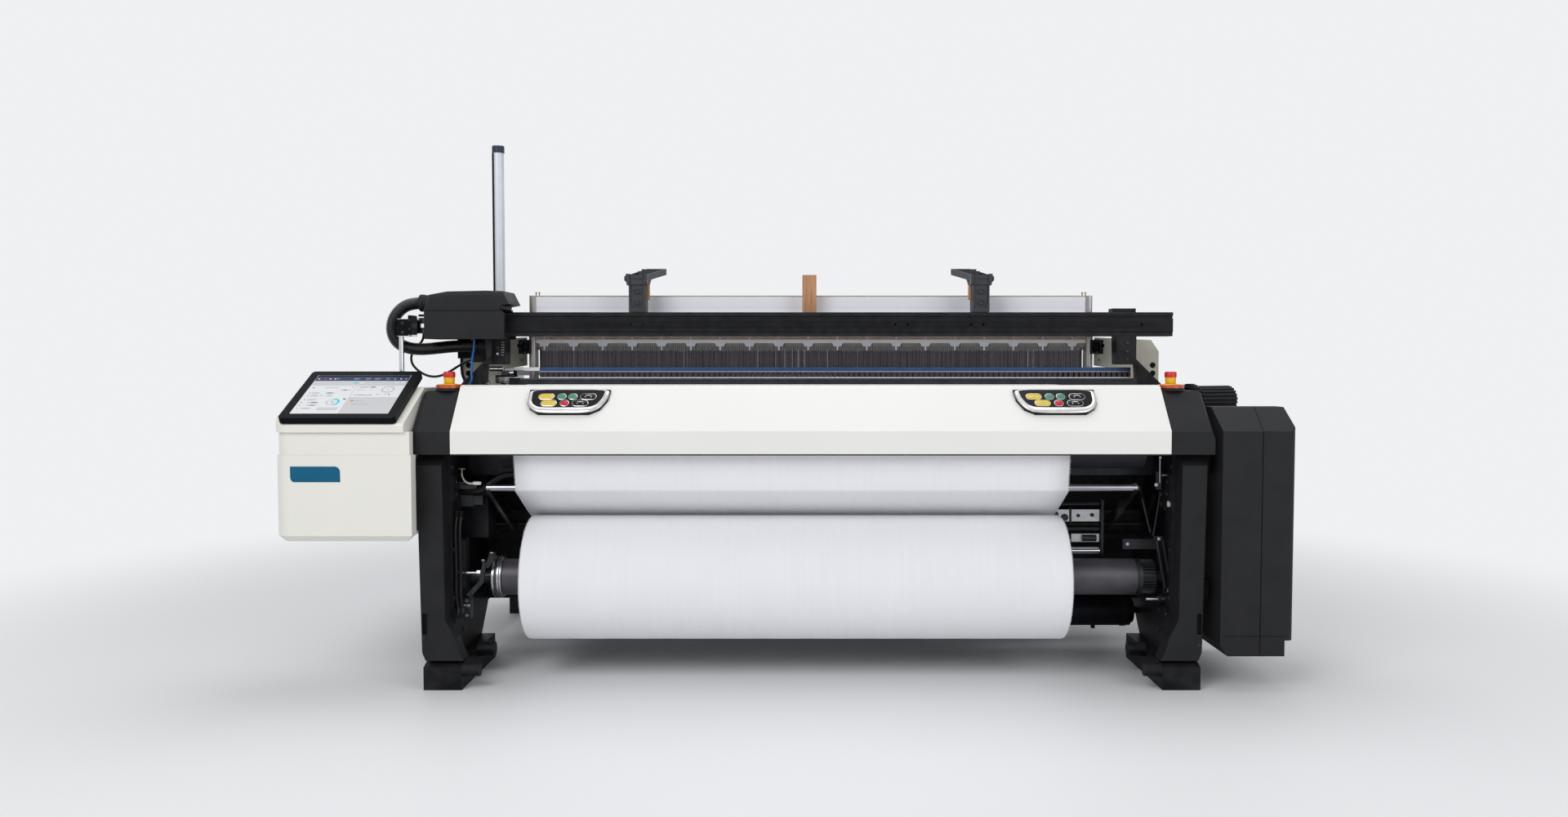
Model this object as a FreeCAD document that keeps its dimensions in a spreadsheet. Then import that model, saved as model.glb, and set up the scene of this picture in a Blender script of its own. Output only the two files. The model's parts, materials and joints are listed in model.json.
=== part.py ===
import FreeCAD, Part
import math
import os
import re

import Sketcher

# A power loom with an air-jet weft feeder, in millimetres.
#
# X runs along the width, from the control box on the left to the drive housing on the right.
# Y runs from the weaver's side to the warp beam at the back, and Z up from the floor.
# The origin lies on the floor under the middle of the whole machine. Every sub-part is drawn
# about the middle plane of the weaving width, which lies `middle` to the right of the origin.

SIZES = {
    # side frames and their feet
    "middle": 83.5,
    "frame_inner": 1250,
    "frame_wall": 60,
    "frame_front": 700,
    "frame_back": 700,
    "frame_top": 985,
    "arch_height": 200,
    "shield_y": 225,
    "shield_wall": 4,
    "shield_bottom": 305,
    "shield_top": 700,
    "beam_wall": 8,
    "arch_front": 230,
    "arch_back": 360,
    "arch_taper": 60,
    "recess_margin": 50,
    "window_radius": 40,
    "frame_web": 16,
    "arm_front": 690,
    "arm_back": 630,
    "gear_case_front": 560,
    "gear_case_back": 450,
    "gear_case_bottom": 493,
    "gear_case_top": 644,
    "gear_case_reach": 1160,
    "foot_height": 91,
    "foot_toe": 79,
    "toe_length": 40,
    "sole_height": 30,
    "foot_setback": 70,
    "foot_step": 25,
    "foot_front": 780,
    "foot_length": 450,
    "foot_outer": 1330,
    "foot_inner": 1200,
    "peg_reach": 1140,
    "peg_one_y": 760,
    "peg_one_z": 67,
    "peg_one_radius": 22.5,
    "peg_two_y": 560,
    "peg_two_z": 88,
    "peg_two_radius": 26.5,
    "bearing_depth": 30,
    "end_gap": 0.5,
    "running_gap": 0.05,
    "face_gap": 0.3,
    # covers
    "leg_cover_depth": 70,
    "leg_cover_inner": 1262,
    "leg_cover_outer": 1350,
    "leg_cover_bottom": 99,
    "leg_cover_top": 808,
    "leg_cover_wall": 6,
    "cover_front": 810,
    "cover_gap": 5,
    "cover_band": 77,
    "cover_ridge": 673,
    "cover_top": 1042,
    "cover_back": 632,
    "cover_left": 1220,
    "cover_right": 1210,
    "cover_wall": 4,
    "cover_lug_width": 50,
    "cover_lug_drop": 22,
    "cover_lug_rise": 30,
    "cover_bracket_reach": 1100,
    "cover_bracket_width": 12,
    "end_cover_left": 1354,
    "end_cover_right": 1359,
    "end_cover_top": 1022,
    "end_cover_back": 600,
    "end_cover_drop": 4,
    # air tank
    "tank_y": 300,
    "tank_z": 173,
    "tank_radius": 57,
    "tank_left": 300,
    "tank_right": 1214,
    # cloth take-up
    "roll_y": -580,
    "roll_z": 355,
    "roll_radius": 219,
    "roll_left": 1000,
    "roll_right": 890,
    "core_radius": 63.5,
    "core_left": 1097,
    "core_right": 1157,
    "journal_radius": 22,
    "gear_teeth": 29,
    "pinion_teeth": 17,
    "gear_module": 4,
    "gear_start": 1173,
    "gear_width": 46,
    "backlash": 0.6,
    "take_up_y": -560,
    "take_up_z": 817,
    "take_up_radius": 75,
    "deflector_y": -745,
    "deflector_z": 842,
    "deflector_radius": 25,
    "deflector_reach": 1080,
    "deflector_journal": 10,
    "nose_y": -590,
    "nose_radius": 30,
    "nose_end_gap": 70,
    "breast_front": 552,
    "breast_back": 476,
    "breast_wall": 4,
    "breast_floor": 74,
    "breast_lid": 30,
    "breast_web": 300,
    "guide_bar_y": -730,
    "guide_bar_z": 690,
    "guide_bar_radius": 12.5,
    "guide_bar_reach": 1118,
    "rear_bar_y": -350,
    "rear_bar_z": 496,
    "rear_bar_radius": 18,
    "cloth_left": 1016,
    "cloth_right": 879,
    "cloth_thickness": 1,
    "fell_y": -466,
    "fell_z": 1040,
    # control box and display
    "box_left": 1801,
    "box_right": 1358,
    "box_front_right": 1336,
    "box_front": 860,
    "box_step": 812,
    "box_back": 455,
    "box_bottom": 523,
    "box_band_bottom": 812,
    "box_band_top": 882,
    "box_band_depth": 6,
    "box_top": 890,
    "box_corner": 60,
    "lid_lip": 917,
    "lid_ridge": 640,
    "display_left": 1770,
    "display_right": 1382,
    "display_depth": 335,
    "display_thickness": 22,
    "display_front": 870,
    "display_gap": 3.6,
    "display_tilt": 26.6,
    "display_rim": 30,
    "screen_depth": 1.5,
    # drive side
    "housing_left": 1384,
    "housing_right": 1634,
    "housing_front": 810,
    "housing_back": 200,
    "housing_bottom": 125,
    "housing_ridge": 967,
    "housing_shoulder": 77,
    "housing_step": 62,
    "motor_x": 1399,
    "motor_y": -450,
    "motor_height": 77,
    "motor_angle": 20,
    "motor_radius": 46,
    "motor_length": 165,
    "motor_fin": 6,
    "wheel_radius": 60,
    "wheel_width": 24,
    "wheel_teeth": 24,
    # upper beam with its stands, brackets and weft feeder
    "beam_front": 480,
    "beam_back": 400,
    "beam_bottom": 1215,
    "beam_top": 1302,
    "beam_right": 1314,
    "stand_inner": 1111,
    "stand_outer": 1183,
    "stand_knee": 1112,
    "bracket_inner": 582,
    "bracket_outer": 660,
    "feeder_left": 1386,
    "feeder_right": 1096,
    "feeder_front": 560,
    "feeder_back": 380,
    "feeder_bottom": 1204,
    "feeder_top": 1377,
    "feeder_wall": 6,
    "hose_radius": 22.5,
    "hose_root_radius": 19.5,
    "hose_bore_radius": 16,
    "hose_ribs": 52,
    "hose_y": -450,
    "coupling_radius": 29.5,
    "coupling_length": 38,
    "cable_radius": 4.5,
    "tube_radius": 4,
    "tube_x": -1222,
    "tube_fitting": 16,
    "tube_fitting_rise": 20,
    "post_x": -1194,
    "post_y": -226,
    "post_radius": 21,
    "post_top": 1943,
    "clamp_post_x": -1486,
    "clamp_post_y": -489,
    "clamp_post_radius": 9,
    "clamp_bottom": 1214,
    "clamp_back": -400,
    "clamp_depth": 100,
    "clamp_bar": 12,
    # shed: heald frames, reed and sley
    "heald_half": 1059,
    "heald_front": 335,
    "heald_pitch": 14,
    "heald_thickness": 9,
    "heald_stay": 25,
    "heald_top": 1335,
    "heald_top_rail": 96,
    "heald_bottom": 744,
    "heald_bottom_rail": 96,
    "heald_bar_gap": 26,
    "heald_bar_height": 12,
    "heald_bar_thickness": 3,
    "heald_count": 56,
    "heald_width": 5,
    "hanger_count": 19,
    "shed_half": 35,
    "lift_rod_radius": 4,
    "lift_rod_x": 700,
    "lift_top": 690,
    "sley_y": -400,
    "sley_z": 800,
    "sley_shaft_radius": 28,
    "reed_left": 1002,
    "reed_right": 1180,
    "reed_thickness": 10,
    "reed_bottom": 985,
    "reed_top": 1101,
    "reed_cap": 13,
    "reed_gaps": 110,
    "nozzle_radius": 6,
    "nozzle_gap": 6,
    # warp side
    "warp_beam_y": 480,
    "warp_beam_z": 480,
    "flange_radius": 400,
    "flange_left": 1045,
    "flange_right": 1000,
    "flange_thickness": 18,
    "barrel_radius": 90,
    "yarn_radius": 330,
    "warp_left": 1030,
    "warp_right": 900,
    "warp_thickness": 1,
    "whip_y": 640,
    "whip_z": 970,
    "whip_radius": 70,
    "whip_reach": 1180,
    "plate_gap": 24,
    # stop buttons and key panels
    "stop_left_x": -1271,
    "stop_right_x": 1259,
    "stop_y": -634,
    "stop_ring_radius": 45,
    "stop_ring_height": 20,
    "stop_stem_radius": 16,
    "stop_head_radius": 20,
    "stop_travel": 5,
    "panel_near": 694,
    "panel_far": 973,
    "panel_low": 70,
    "panel_high": 176,
    "panel_height": 12,
    "key_rise": 2.5,
    "key_half": 12,
    "key_corner": 9,
    "key_long": 26,
    "key_short": 14,
    "key_high": 140,
    "key_low": 111,
}

# sizes that follow from the others
WORKED_OUT = {
    "frame_outer": "frame_inner + frame_wall",
    "frame_recess": "(frame_wall - frame_web) / 2",
    "shaft_end": "frame_inner + bearing_depth - end_gap",
    "leg_cover_front": "frame_front + leg_cover_depth",
    "cover_bottom": "leg_cover_top + cover_gap",
    "cover_crease": "cover_bottom + cover_band",
    "pinion_y": "roll_y + gear_module * (gear_teeth + pinion_teeth) / 2",
    "nose_z": "fell_z - nose_radius - face_gap - cloth_thickness / 2",
    "nose_reach": "frame_inner - nose_end_gap",
    "lid_slope_front": "box_front + 6",
    "lid_top": "lid_lip + (lid_slope_front - lid_ridge) * tan(display_tilt)",
    "display_height": "lid_lip + (lid_slope_front - display_front) * tan(display_tilt)"
                      " + display_gap / cos(display_tilt)",
    "housing_top": "housing_ridge - housing_shoulder",
    "housing_seat": "housing_ridge - housing_step",
    "motor_z": "housing_seat + motor_height",
    "cover_slope": "atan((cover_top - cover_crease) / (cover_front - cover_ridge))",
    "plate_inner": "heald_half + plate_gap",
    "heald_open_top": "heald_top - heald_top_rail",
    "heald_open_bottom": "heald_bottom + heald_bottom_rail",
}

doc = FreeCAD.newDocument("power_loom")
sheet = doc.addObject("Spreadsheet::Sheet", "sizes")
for row, (name, size) in enumerate(SIZES.items(), start=1):
    sheet.set(f"A{row}", name)
    sheet.set(f"B{row}", str(size))
    sheet.setAlias(f"B{row}", name)
doc.recompute()

nodes = []


def bound(words):
    """An expression over the sizes, in the form that the document's objects take."""
    def written(found):
        word = found.group()
        if word in WORKED_OUT:
            return "(" + bound(WORKED_OUT[word]) + ")"
        return "sizes." + word if word in SIZES else word
    return re.sub(r"[a-z][a-z_]*", written, str(words))


def value(words):
    """What an expression over the sizes comes to, as a number."""
    return float(sheet.evalExpression(bound(words)))


def bind(made, **expressions):
    """Tie properties of an object to the sizes; Base_x stands for Placement.Base.x."""
    for name, words in expressions.items():
        path = "Placement.Base." + name[-1] if name.startswith("Base_") else name
        made.setExpression(path, bound(words))


def keep(made, label):
    """Name an object and count it among the sub-parts that are written out."""
    made.Label = label
    nodes.append(made)
    return made


# ---- sketches and the features made from them ----

PLANES = {"XY": "XY_Plane", "XZ": "XZ_Plane", "YZ": "YZ_Plane"}


def new_body(name, x="middle", y="0", z="0"):
    body = doc.addObject("PartDesign::Body", name)
    bind(body, Base_x=x, Base_y=y, Base_z=z)
    return body


def new_sketch(body, plane, offset):
    """An empty sketch on one of the body's own planes, moved along its normal."""
    sketch = body.newObject("Sketcher::SketchObject", body.Name + "_sketch")
    origin = [f for f in body.Origin.OriginFeatures if f.Role == PLANES[plane]][0]
    sketch.AttachmentSupport = [(origin, "")]
    sketch.MapMode = "FlatFace"
    sketch.setExpression("AttachmentOffset.Base.z", bound(offset))
    return sketch


def pin_point(sketch, line, across, up):
    """Hold the start of a line at two expressions."""
    for kind, words in (("DistanceX", across), ("DistanceY", up)):
        row = sketch.addConstraint(Sketcher.Constraint(kind, -1, 1, line, 1, value(words)))
        sketch.setExpression(f"Constraints[{row}]", bound(words))


def draw(sketch, points):
    """A closed outline of straight lines through points given as pairs of expressions."""
    places = [FreeCAD.Vector(value(a), value(b), 0) for a, b in points]
    first = sketch.GeometryCount
    for i, place in enumerate(places):
        sketch.addGeometry(Part.LineSegment(place, places[(i + 1) % len(places)]), False)
    for i in range(len(places)):
        after = first + (i + 1) % len(places)
        sketch.addConstraint(Sketcher.Constraint("Coincident", first + i, 2, after, 1))
        pin_point(sketch, first + i, *points[i])


def draw_circle(sketch, across, up, radius):
    centre = FreeCAD.Vector(value(across), value(up), 0)
    circle = Part.Circle(centre, FreeCAD.Vector(0, 0, 1), value(radius))
    line = sketch.addGeometry(circle, False)
    for kind, words in (("DistanceX", across), ("DistanceY", up)):
        row = sketch.addConstraint(Sketcher.Constraint(kind, -1, 1, line, 3, value(words)))
        sketch.setExpression(f"Constraints[{row}]", bound(words))
    row = sketch.addConstraint(Sketcher.Constraint("Radius", line, value(radius)))
    sketch.setExpression(f"Constraints[{row}]", bound(radius))


def rectangle(low_a, high_a, low_b, high_b):
    return [(low_a, low_b), (high_a, low_b), (high_a, high_b), (low_a, high_b)]


def solid(body, kind, plane, outlines, offset, length):
    """A pad along the plane's normal, or a pocket against it, from outlines or circles."""
    sketch = new_sketch(body, plane, offset)
    for outline in outlines:
        if len(outline) == 3 and not isinstance(outline[0], tuple):
            draw_circle(sketch, *outline)
        else:
            draw(sketch, outline)
    feature = body.newObject("PartDesign::" + kind, body.Name + "_" + kind.lower())
    feature.Profile = sketch
    feature.Type = 0
    feature.setExpression("Length", bound(length))
    return feature


def pad(body, plane, outlines, offset, length):
    return solid(body, "Pad", plane, outlines, offset, length)


def pocket(body, plane, outlines, offset, length):
    return solid(body, "Pocket", plane, outlines, offset, length)


def repeat(body, feature, count, span, across=True):
    """Copies of a feature in a row along X, spread evenly over a span."""
    pattern = body.newObject("PartDesign::LinearPattern", body.Name + "_row")
    pattern.Originals = [feature]
    axis = "X_Axis" if across else "Z_Axis"
    pattern.Direction = ([f for f in body.Origin.OriginFeatures if f.Role == axis][0], [""])
    pattern.setExpression("Length", bound(span))
    pattern.setExpression("Occurrences", bound(count))
    body.Tip = pattern
    return pattern


def round_edges(body, radius, chosen, kind="Fillet"):
    """Fillet or chamfer those edges of the body's last feature that a test chooses."""
    doc.recompute()
    base = body.Tip
    edges = [f"Edge{i}" for i, edge in enumerate(base.Shape.Edges, start=1) if chosen(edge)]
    if not edges:
        raise ValueError("no edge to round on " + body.Name)
    feature = body.newObject("PartDesign::" + kind, body.Name + "_" + kind.lower())
    feature.Base = (base, edges)
    feature.setExpression("Radius" if kind == "Fillet" else "Size", bound(radius))
    return feature


def lies_along(edge, axis):
    """True for a straight edge parallel to one of the three axes."""
    if edge.Curve.TypeId != "Part::GeomLine":
        return False
    along = edge.Curve.Direction
    return abs(abs((along.x, along.y, along.z)["XYZ".index(axis)]) - 1) < 1e-6


def edge_at(axis, **places):
    """A test for edges along an axis whose middle lies at the given coordinates."""
    wanted = {name: value(words) for name, words in places.items()}

    def chosen(edge):
        middle = edge.BoundBox.Center
        return lies_along(edge, axis) and all(
            abs(getattr(middle, name) - place) < 0.5 for name, place in wanted.items())
    return chosen


def turned(label, steps, y, z, start, x="middle"):
    """A stepped shaft or roller along X: from `start`, each step is (its end, its radius)."""
    body = new_body(label, x, y, z)
    outline = [(start, "0")]
    before = start
    for end, radius in steps:
        outline += [(before, radius), (end, radius)]
        before = end
    outline.append((before, "0"))
    revolve(body, outline)
    return keep(body, label)


def revolve(body, outline):
    """Turn an outline of (place along X, radius) about the body's own X axis."""
    sketch = new_sketch(body, "XZ", "0")
    draw(sketch, outline)
    feature = body.newObject("PartDesign::Revolution", body.Name + "_turn")
    feature.Profile = sketch
    feature.ReferenceAxis = (sketch, ["H_Axis"])
    feature.Angle = 360
    return feature


# ---- plain solids and their unions ----

def block(name, x0, x1, y0, y1, z0, z1):
    made = doc.addObject("Part::Box", name)
    bind(made, Length=f"({x1}) - ({x0})", Width=f"({y1}) - ({y0})", Height=f"({z1}) - ({z0})",
         Base_x=f"middle + {x0}", Base_y=y0, Base_z=z0)
    return made


TURN_TO = {"X": FreeCAD.Rotation(FreeCAD.Vector(0, 1, 0), 90),
           "Y": FreeCAD.Rotation(FreeCAD.Vector(1, 0, 0), -90),
           "Z": FreeCAD.Rotation()}


def rod(name, radius, axis, length, x, y, z):
    """A round bar that starts at a point and runs along +X, +Y or +Z."""
    made = doc.addObject("Part::Cylinder", name)
    made.Placement = FreeCAD.Placement(FreeCAD.Vector(), TURN_TO[axis])
    bind(made, Radius=radius, Height=length, Base_x=f"middle + {x}", Base_y=y, Base_z=z)
    return made


def fused(label, pieces):
    made = doc.addObject("Part::MultiFuse", label)
    made.Shapes = pieces
    return keep(made, label)


def cut_from(label, base, tools):
    """A base with tools taken away from it."""
    tool = tools[0]
    if len(tools) > 1:
        tool = doc.addObject("Part::MultiFuse", label + "_tools")
        tool.Shapes = tools
    made = doc.addObject("Part::Cut", label)
    made.Base = base
    made.Tool = tool
    return made


def group(label, pieces):
    """Like pieces that stay separate solids in one sub-part."""
    made = doc.addObject("Part::Compound", label)
    made.Links = pieces
    return keep(made, label)


def plain(label, shape, start="0"):
    """A sub-part whose form comes from lines and arcs worked out here, from X `start`."""
    made = doc.addObject("Part::Feature", label)
    made.Shape = shape
    bind(made, Base_x=f"middle + {start}")
    return keep(made, label)


SIDES = (("left", -1), ("right", 1))


def from_middle(sign, near, far):
    """The low and high X of a span that lies `near` to `far` from the middle plane."""
    return (f"-({far})", f"-({near})") if sign < 0 else (near, far)


# ---- side frames, feet and cross beams ----

BEARINGS = (("roll_y", "roll_z", "journal_radius"),
            ("pinion_y", "roll_z", "journal_radius * 0.6"),
            ("take_up_y", "take_up_z", "journal_radius"),
            ("deflector_y", "deflector_z", "deflector_journal"),
            ("sley_y", "sley_z", "sley_shaft_radius"),
            ("warp_beam_y", "warp_beam_z", "journal_radius * 1.5"))


# recesses of the side castings: front, back, bottom and top
RECESSES = (("-620", "-330", "480", "730"), ("-180", "120", "330", "700"),
            ("-180", "120", "760", "930"), ("200", "620", "620", "900"))

# bottom and top of the arms that carry the control box on the left and the housing on the right
ARMS = {"left": (("600", "660"), ("760", "800")), "right": (("300", "360"), ("740", "800"))}


def make_side_frame(side, sign):
    body = new_body(side + "_side_frame")
    low, high = from_middle(sign, "frame_inner", "frame_outer")
    outline = [("-frame_front", "foot_height"),
               ("foot_length - foot_front", "foot_height"),
               ("-arch_front", "arch_height"),
               ("arch_back", "arch_height"),
               ("arch_back + arch_taper", "foot_height"),
               ("frame_back", "foot_height"),
               ("frame_back", "frame_top"),
               ("-frame_front", "frame_top")]
    pad(body, "YZ", [outline], low, "frame_wall")
    # the casting is recessed on both faces and keeps a web between them
    recesses = [rectangle(*row) for row in RECESSES]
    pocket(body, "YZ", recesses, high, "frame_recess")
    pocket(body, "YZ", recesses, f"{low} + frame_recess", "frame_recess")
    widest = value("frame_front - recess_margin")
    lowest, highest = value("arch_height + recess_margin"), value("frame_top - recess_margin")
    round_edges(body, "window_radius", lambda edge: lies_along(edge, "X") and (
        abs(edge.BoundBox.Center.y) < widest and lowest < edge.BoundBox.Center.z < highest))
    # a lug in front carries the covers and the deflector roller
    lug = rectangle("-cover_front + end_cover_drop + cover_wall", "-frame_front",
                    "deflector_z - cover_lug_drop", "deflector_z + cover_lug_rise")
    pad(body, "YZ", [lug], low if sign > 0 else f"{high} - cover_lug_width",
        "cover_lug_width")
    holes = [(y, z, radius + " + running_gap") for y, z, radius in BEARINGS]
    mouth = f"{low} + bearing_depth" if sign > 0 else high
    pocket(body, "YZ", holes, mouth, "bearing_depth")
    arms = [rectangle("-arm_front", "-arm_back", bottom, top) for bottom, top in ARMS[side]]
    if sign < 0:
        pad(body, "YZ", arms, "-box_right", "box_right - frame_outer")
        case = rectangle("-gear_case_front", "-gear_case_back", "gear_case_bottom",
                         "gear_case_top")
        pad(body, "YZ", [case], f"{high} - frame_recess",
            "frame_inner + frame_recess - gear_case_reach")
    else:
        pad(body, "YZ", arms, "frame_outer", "housing_left - frame_outer")
    keep(body, side + "_side_frame")


def make_feet():
    front, rear = [], []
    for side, sign in SIDES:
        low, high = from_middle(sign, "foot_inner", "foot_outer")
        body = new_body(side + "_front_foot")
        toe = [("-foot_front", "0"), ("foot_length - foot_front", "0"),
               ("foot_length - foot_front", "foot_height"), ("toe_length - foot_front", "foot_height"),
               ("-foot_front", "foot_toe")]
        pad(body, "YZ", [toe], low, "foot_outer - foot_inner")
        # the casting steps in above its sole, outside the frame
        pocket(body, "YZ", [rectangle("-foot_front + foot_setback", "foot_length - foot_front",
                                      "sole_height", "foot_height")],
               "-foot_outer + foot_step" if sign < 0 else "foot_outer", "foot_step")
        pegs = []
        for number, (y, z, radius) in enumerate((("-peg_one_y", "peg_one_z", "peg_one_radius"),
                                                 ("-peg_two_y", "peg_two_z",
                                                  "peg_two_radius"))):
            start = "-foot_inner" if sign < 0 else "peg_reach"
            pegs.append(rod(f"{side}_peg_{number}", radius, "X", "foot_inner - peg_reach",
                            start, y, z))
        whole = doc.addObject("Part::MultiFuse", side + "_front_casting")
        whole.Shapes = [body] + pegs
        front.append(whole)
        back = new_body(side + "_rear_foot")
        heel = [("arch_back + arch_taper", "0"), ("frame_back", "0"), ("frame_back", "foot_toe"),
                ("frame_back - toe_length", "foot_height"), ("arch_back + arch_taper", "foot_height")]
        pad(back, "YZ", [heel], low, "foot_outer - foot_inner")
        rear.append(back)
    group("front_feet", front)
    group("rear_feet", rear)


# each cross beam: its front face, its underside, its depth and its height
CROSS_BEAMS = (("lower_cross_beam", "-230", "205", "80", "100"),
               ("harness_cross_beam", "-325", "450", "100", "100"),
               ("rear_cross_beam", "-60", "215", "90", "100"))


def make_cross_beams():
    for name, y, z, wide, tall in CROSS_BEAMS:
        body = new_body(name)
        outer = rectangle(y, f"{y} + {wide}", z, f"{z} + {tall}")
        inner = rectangle(f"{y} + beam_wall", f"{y} + {wide} - beam_wall", f"{z} + beam_wall",
                          f"{z} + {tall} - beam_wall")
        pad(body, "YZ", [outer, inner], "-frame_inner", "2 * frame_inner")
        if name == "harness_cross_beam":
            # a sheet closes the view between the two beams and up to the lift units
            shield = rectangle("-shield_y - shield_wall", "-shield_y", "shield_bottom",
                               "shield_top")
            pad(body, "YZ", [shield], "-frame_inner", "2 * frame_inner")
        keep(body, name)


def make_air_tank():
    body = turned("tank_shell", [("tank_left + 20", "tank_radius - 7"),
                                 ("tank_right - 34", "tank_radius"),
                                 ("tank_right - 18", "tank_radius + 3"),
                                 ("tank_right", "tank_radius"),
                                 ("tank_right + 12", "tank_radius - 11"),
                                 ("frame_inner", "12")],
                  "-tank_y", "tank_z", "tank_left")
    nodes.remove(body)
    stud = rod("tank_stud", "8", "Z", "40", "1080", "-tank_y", "tank_z - tank_radius - 12")
    hanger = block("tank_hanger", "500", "540", "-tank_y", "-230", "205", "225")
    fused("air_tank", [body, stud, hanger])


# ---- covers ----

def make_leg_cover(side, sign):
    body = new_body(side + "_leg_cover")
    outline = [("leg_cover_inner", "leg_cover_top"), ("leg_cover_inner - 6", "240"),
               ("leg_cover_inner - 38", "176"), ("leg_cover_inner - 48", "138"),
               ("leg_cover_inner - 66", "leg_cover_bottom"),
               ("leg_cover_outer - 25", "leg_cover_bottom"),
               ("leg_cover_outer - 12", "leg_cover_bottom + 31"),
               ("leg_cover_outer", "leg_cover_top")]
    mirrored = [(f"{sign} * ({x})", z) for x, z in outline]
    pad(body, "XZ", [mirrored], "frame_front", "leg_cover_depth")
    round_edges(body, "38", edge_at("X", y="-leg_cover_front", z="leg_cover_top"), "Chamfer")
    round_edges(body, "5", lambda edge: edge.BoundBox.YMax < value("-leg_cover_front") + 0.5
                and edge.BoundBox.ZLength > 400)
    shell(body, "leg_cover_wall", lambda face: face.BoundBox.YMin > value("-frame_front") - 0.1)
    slot = [(f"{sign} * ({x})", z) for x, z in rectangle("1318", "1334", "190", "262")]
    pocket(body, "XZ", [slot], "leg_cover_front", "2 * leg_cover_wall")
    keep(body, side + "_leg_cover")


def shell(body, wall, open_faces):
    """Hollow a body out inwards, leaving out the faces that a test chooses."""
    doc.recompute()
    base = body.Tip
    names = [f"Face{i}" for i, face in enumerate(base.Shape.Faces, start=1) if open_faces(face)]
    feature = body.newObject("PartDesign::Thickness", body.Name + "_wall")
    feature.Base = (base, names)
    feature.setExpression("Value", bound(wall))
    feature.Reversed = True
    feature.Mode = 0
    feature.Join = 0
    return feature


def cover_profile(lower, back, top):
    """The bent section that the covers share, `lower` below and behind the front cover's."""
    return [(f"-cover_front + {lower}", f"cover_bottom - {lower} / 2"),
            (f"-cover_front + {lower}", f"cover_crease - {lower} / 2"),
            (f"-cover_ridge + {lower}", top),
            (f"-{back}", top),
            (f"-{back}", f"cover_bottom - {lower} / 2")]


def make_covers():
    body = new_body("front_cover")
    pad(body, "YZ", [cover_profile("0", "cover_back", "cover_top")], "-cover_left",
        "cover_left + cover_right")
    round_edges(body, "30", edge_at("X", y="-cover_ridge", z="cover_top"))
    shell(body, "cover_wall", lambda face: face.BoundBox.XLength < 0.1
          or face.BoundBox.YMin > value("-cover_back") - 0.1
          or face.BoundBox.ZMax < value("cover_bottom") + 0.1)
    keep(body, "front_cover")
    for side, sign, start, length, outside in (
            ("left", -1, "-end_cover_left", "end_cover_left - cover_left - face_gap",
             "-end_cover_left"),
            ("right", 1, "cover_right + face_gap", "end_cover_right - cover_right - face_gap",
             "end_cover_right")):
        name = side + "_end_cover"
        body = new_body(name)
        pad(body, "YZ", [cover_profile("end_cover_drop", "end_cover_back",
                                   "end_cover_top")], start, length)
        outer = value(outside)
        round_edges(body, "22", lambda edge: (
            abs(edge.BoundBox.Center.x - outer) < 0.5 and edge.BoundBox.XLength < 0.1
            and edge.BoundBox.Center.z > value("cover_crease")
            and edge.BoundBox.YLength > 50))
        inner = value(start) + (value(length) if sign < 0 else 0)
        shell(body, "cover_wall", lambda face: (
            (face.BoundBox.XLength < 0.1 and abs(face.BoundBox.Center.x - inner) < 0.5)
            or face.BoundBox.YMin > value("-end_cover_back") - 0.1
            or face.BoundBox.ZMax < value("cover_bottom")))
        keep(body, name)


# ---- cloth take-up ----

def make_gear(label, teeth, phase, y, z):
    """A spur gear along X: a disc whose tooth spaces are cut one by one round it."""
    body = new_body(label, "middle + gear_start", y, z)
    body.Placement.Rotation = FreeCAD.Rotation(FreeCAD.Vector(1, 0, 0), 0)
    body.setExpression("Placement.Rotation.Angle", bound(phase))
    pitch = f"gear_module * {teeth} / 2"
    pad(body, "YZ", [("0", "0", f"{pitch} + gear_module")], "0", "gear_width")
    half = "(gear_module * pi / 4 + backlash / 2)"
    # the space between two teeth opens outwards, more so on a gear with few teeth
    outside = f"{pitch} + gear_module * 1.5"
    spread = f"gear_module * 1.5 * (0.42 + 3.6 / {teeth})"
    root = f"{pitch} - gear_module * 1.25"
    narrowing = "gear_module * 0.3"
    space = [(root, f"-({half} - {narrowing})"), (root, f"{half} - {narrowing}"),
             (pitch, half), (outside, f"{half} + {spread}"),
             (outside, f"-({half} + {spread})"), (pitch, f"-({half})")]
    cut = pocket(body, "YZ", [space], "gear_width", "gear_width")
    pattern = body.newObject("PartDesign::PolarPattern", label + "_teeth")
    pattern.Originals = [cut]
    pattern.Axis = ([f for f in body.Origin.OriginFeatures if f.Role == "X_Axis"][0], [""])
    pattern.Angle = 360
    pattern.setExpression("Occurrences", bound(teeth))
    body.Tip = pattern
    return body


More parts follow.
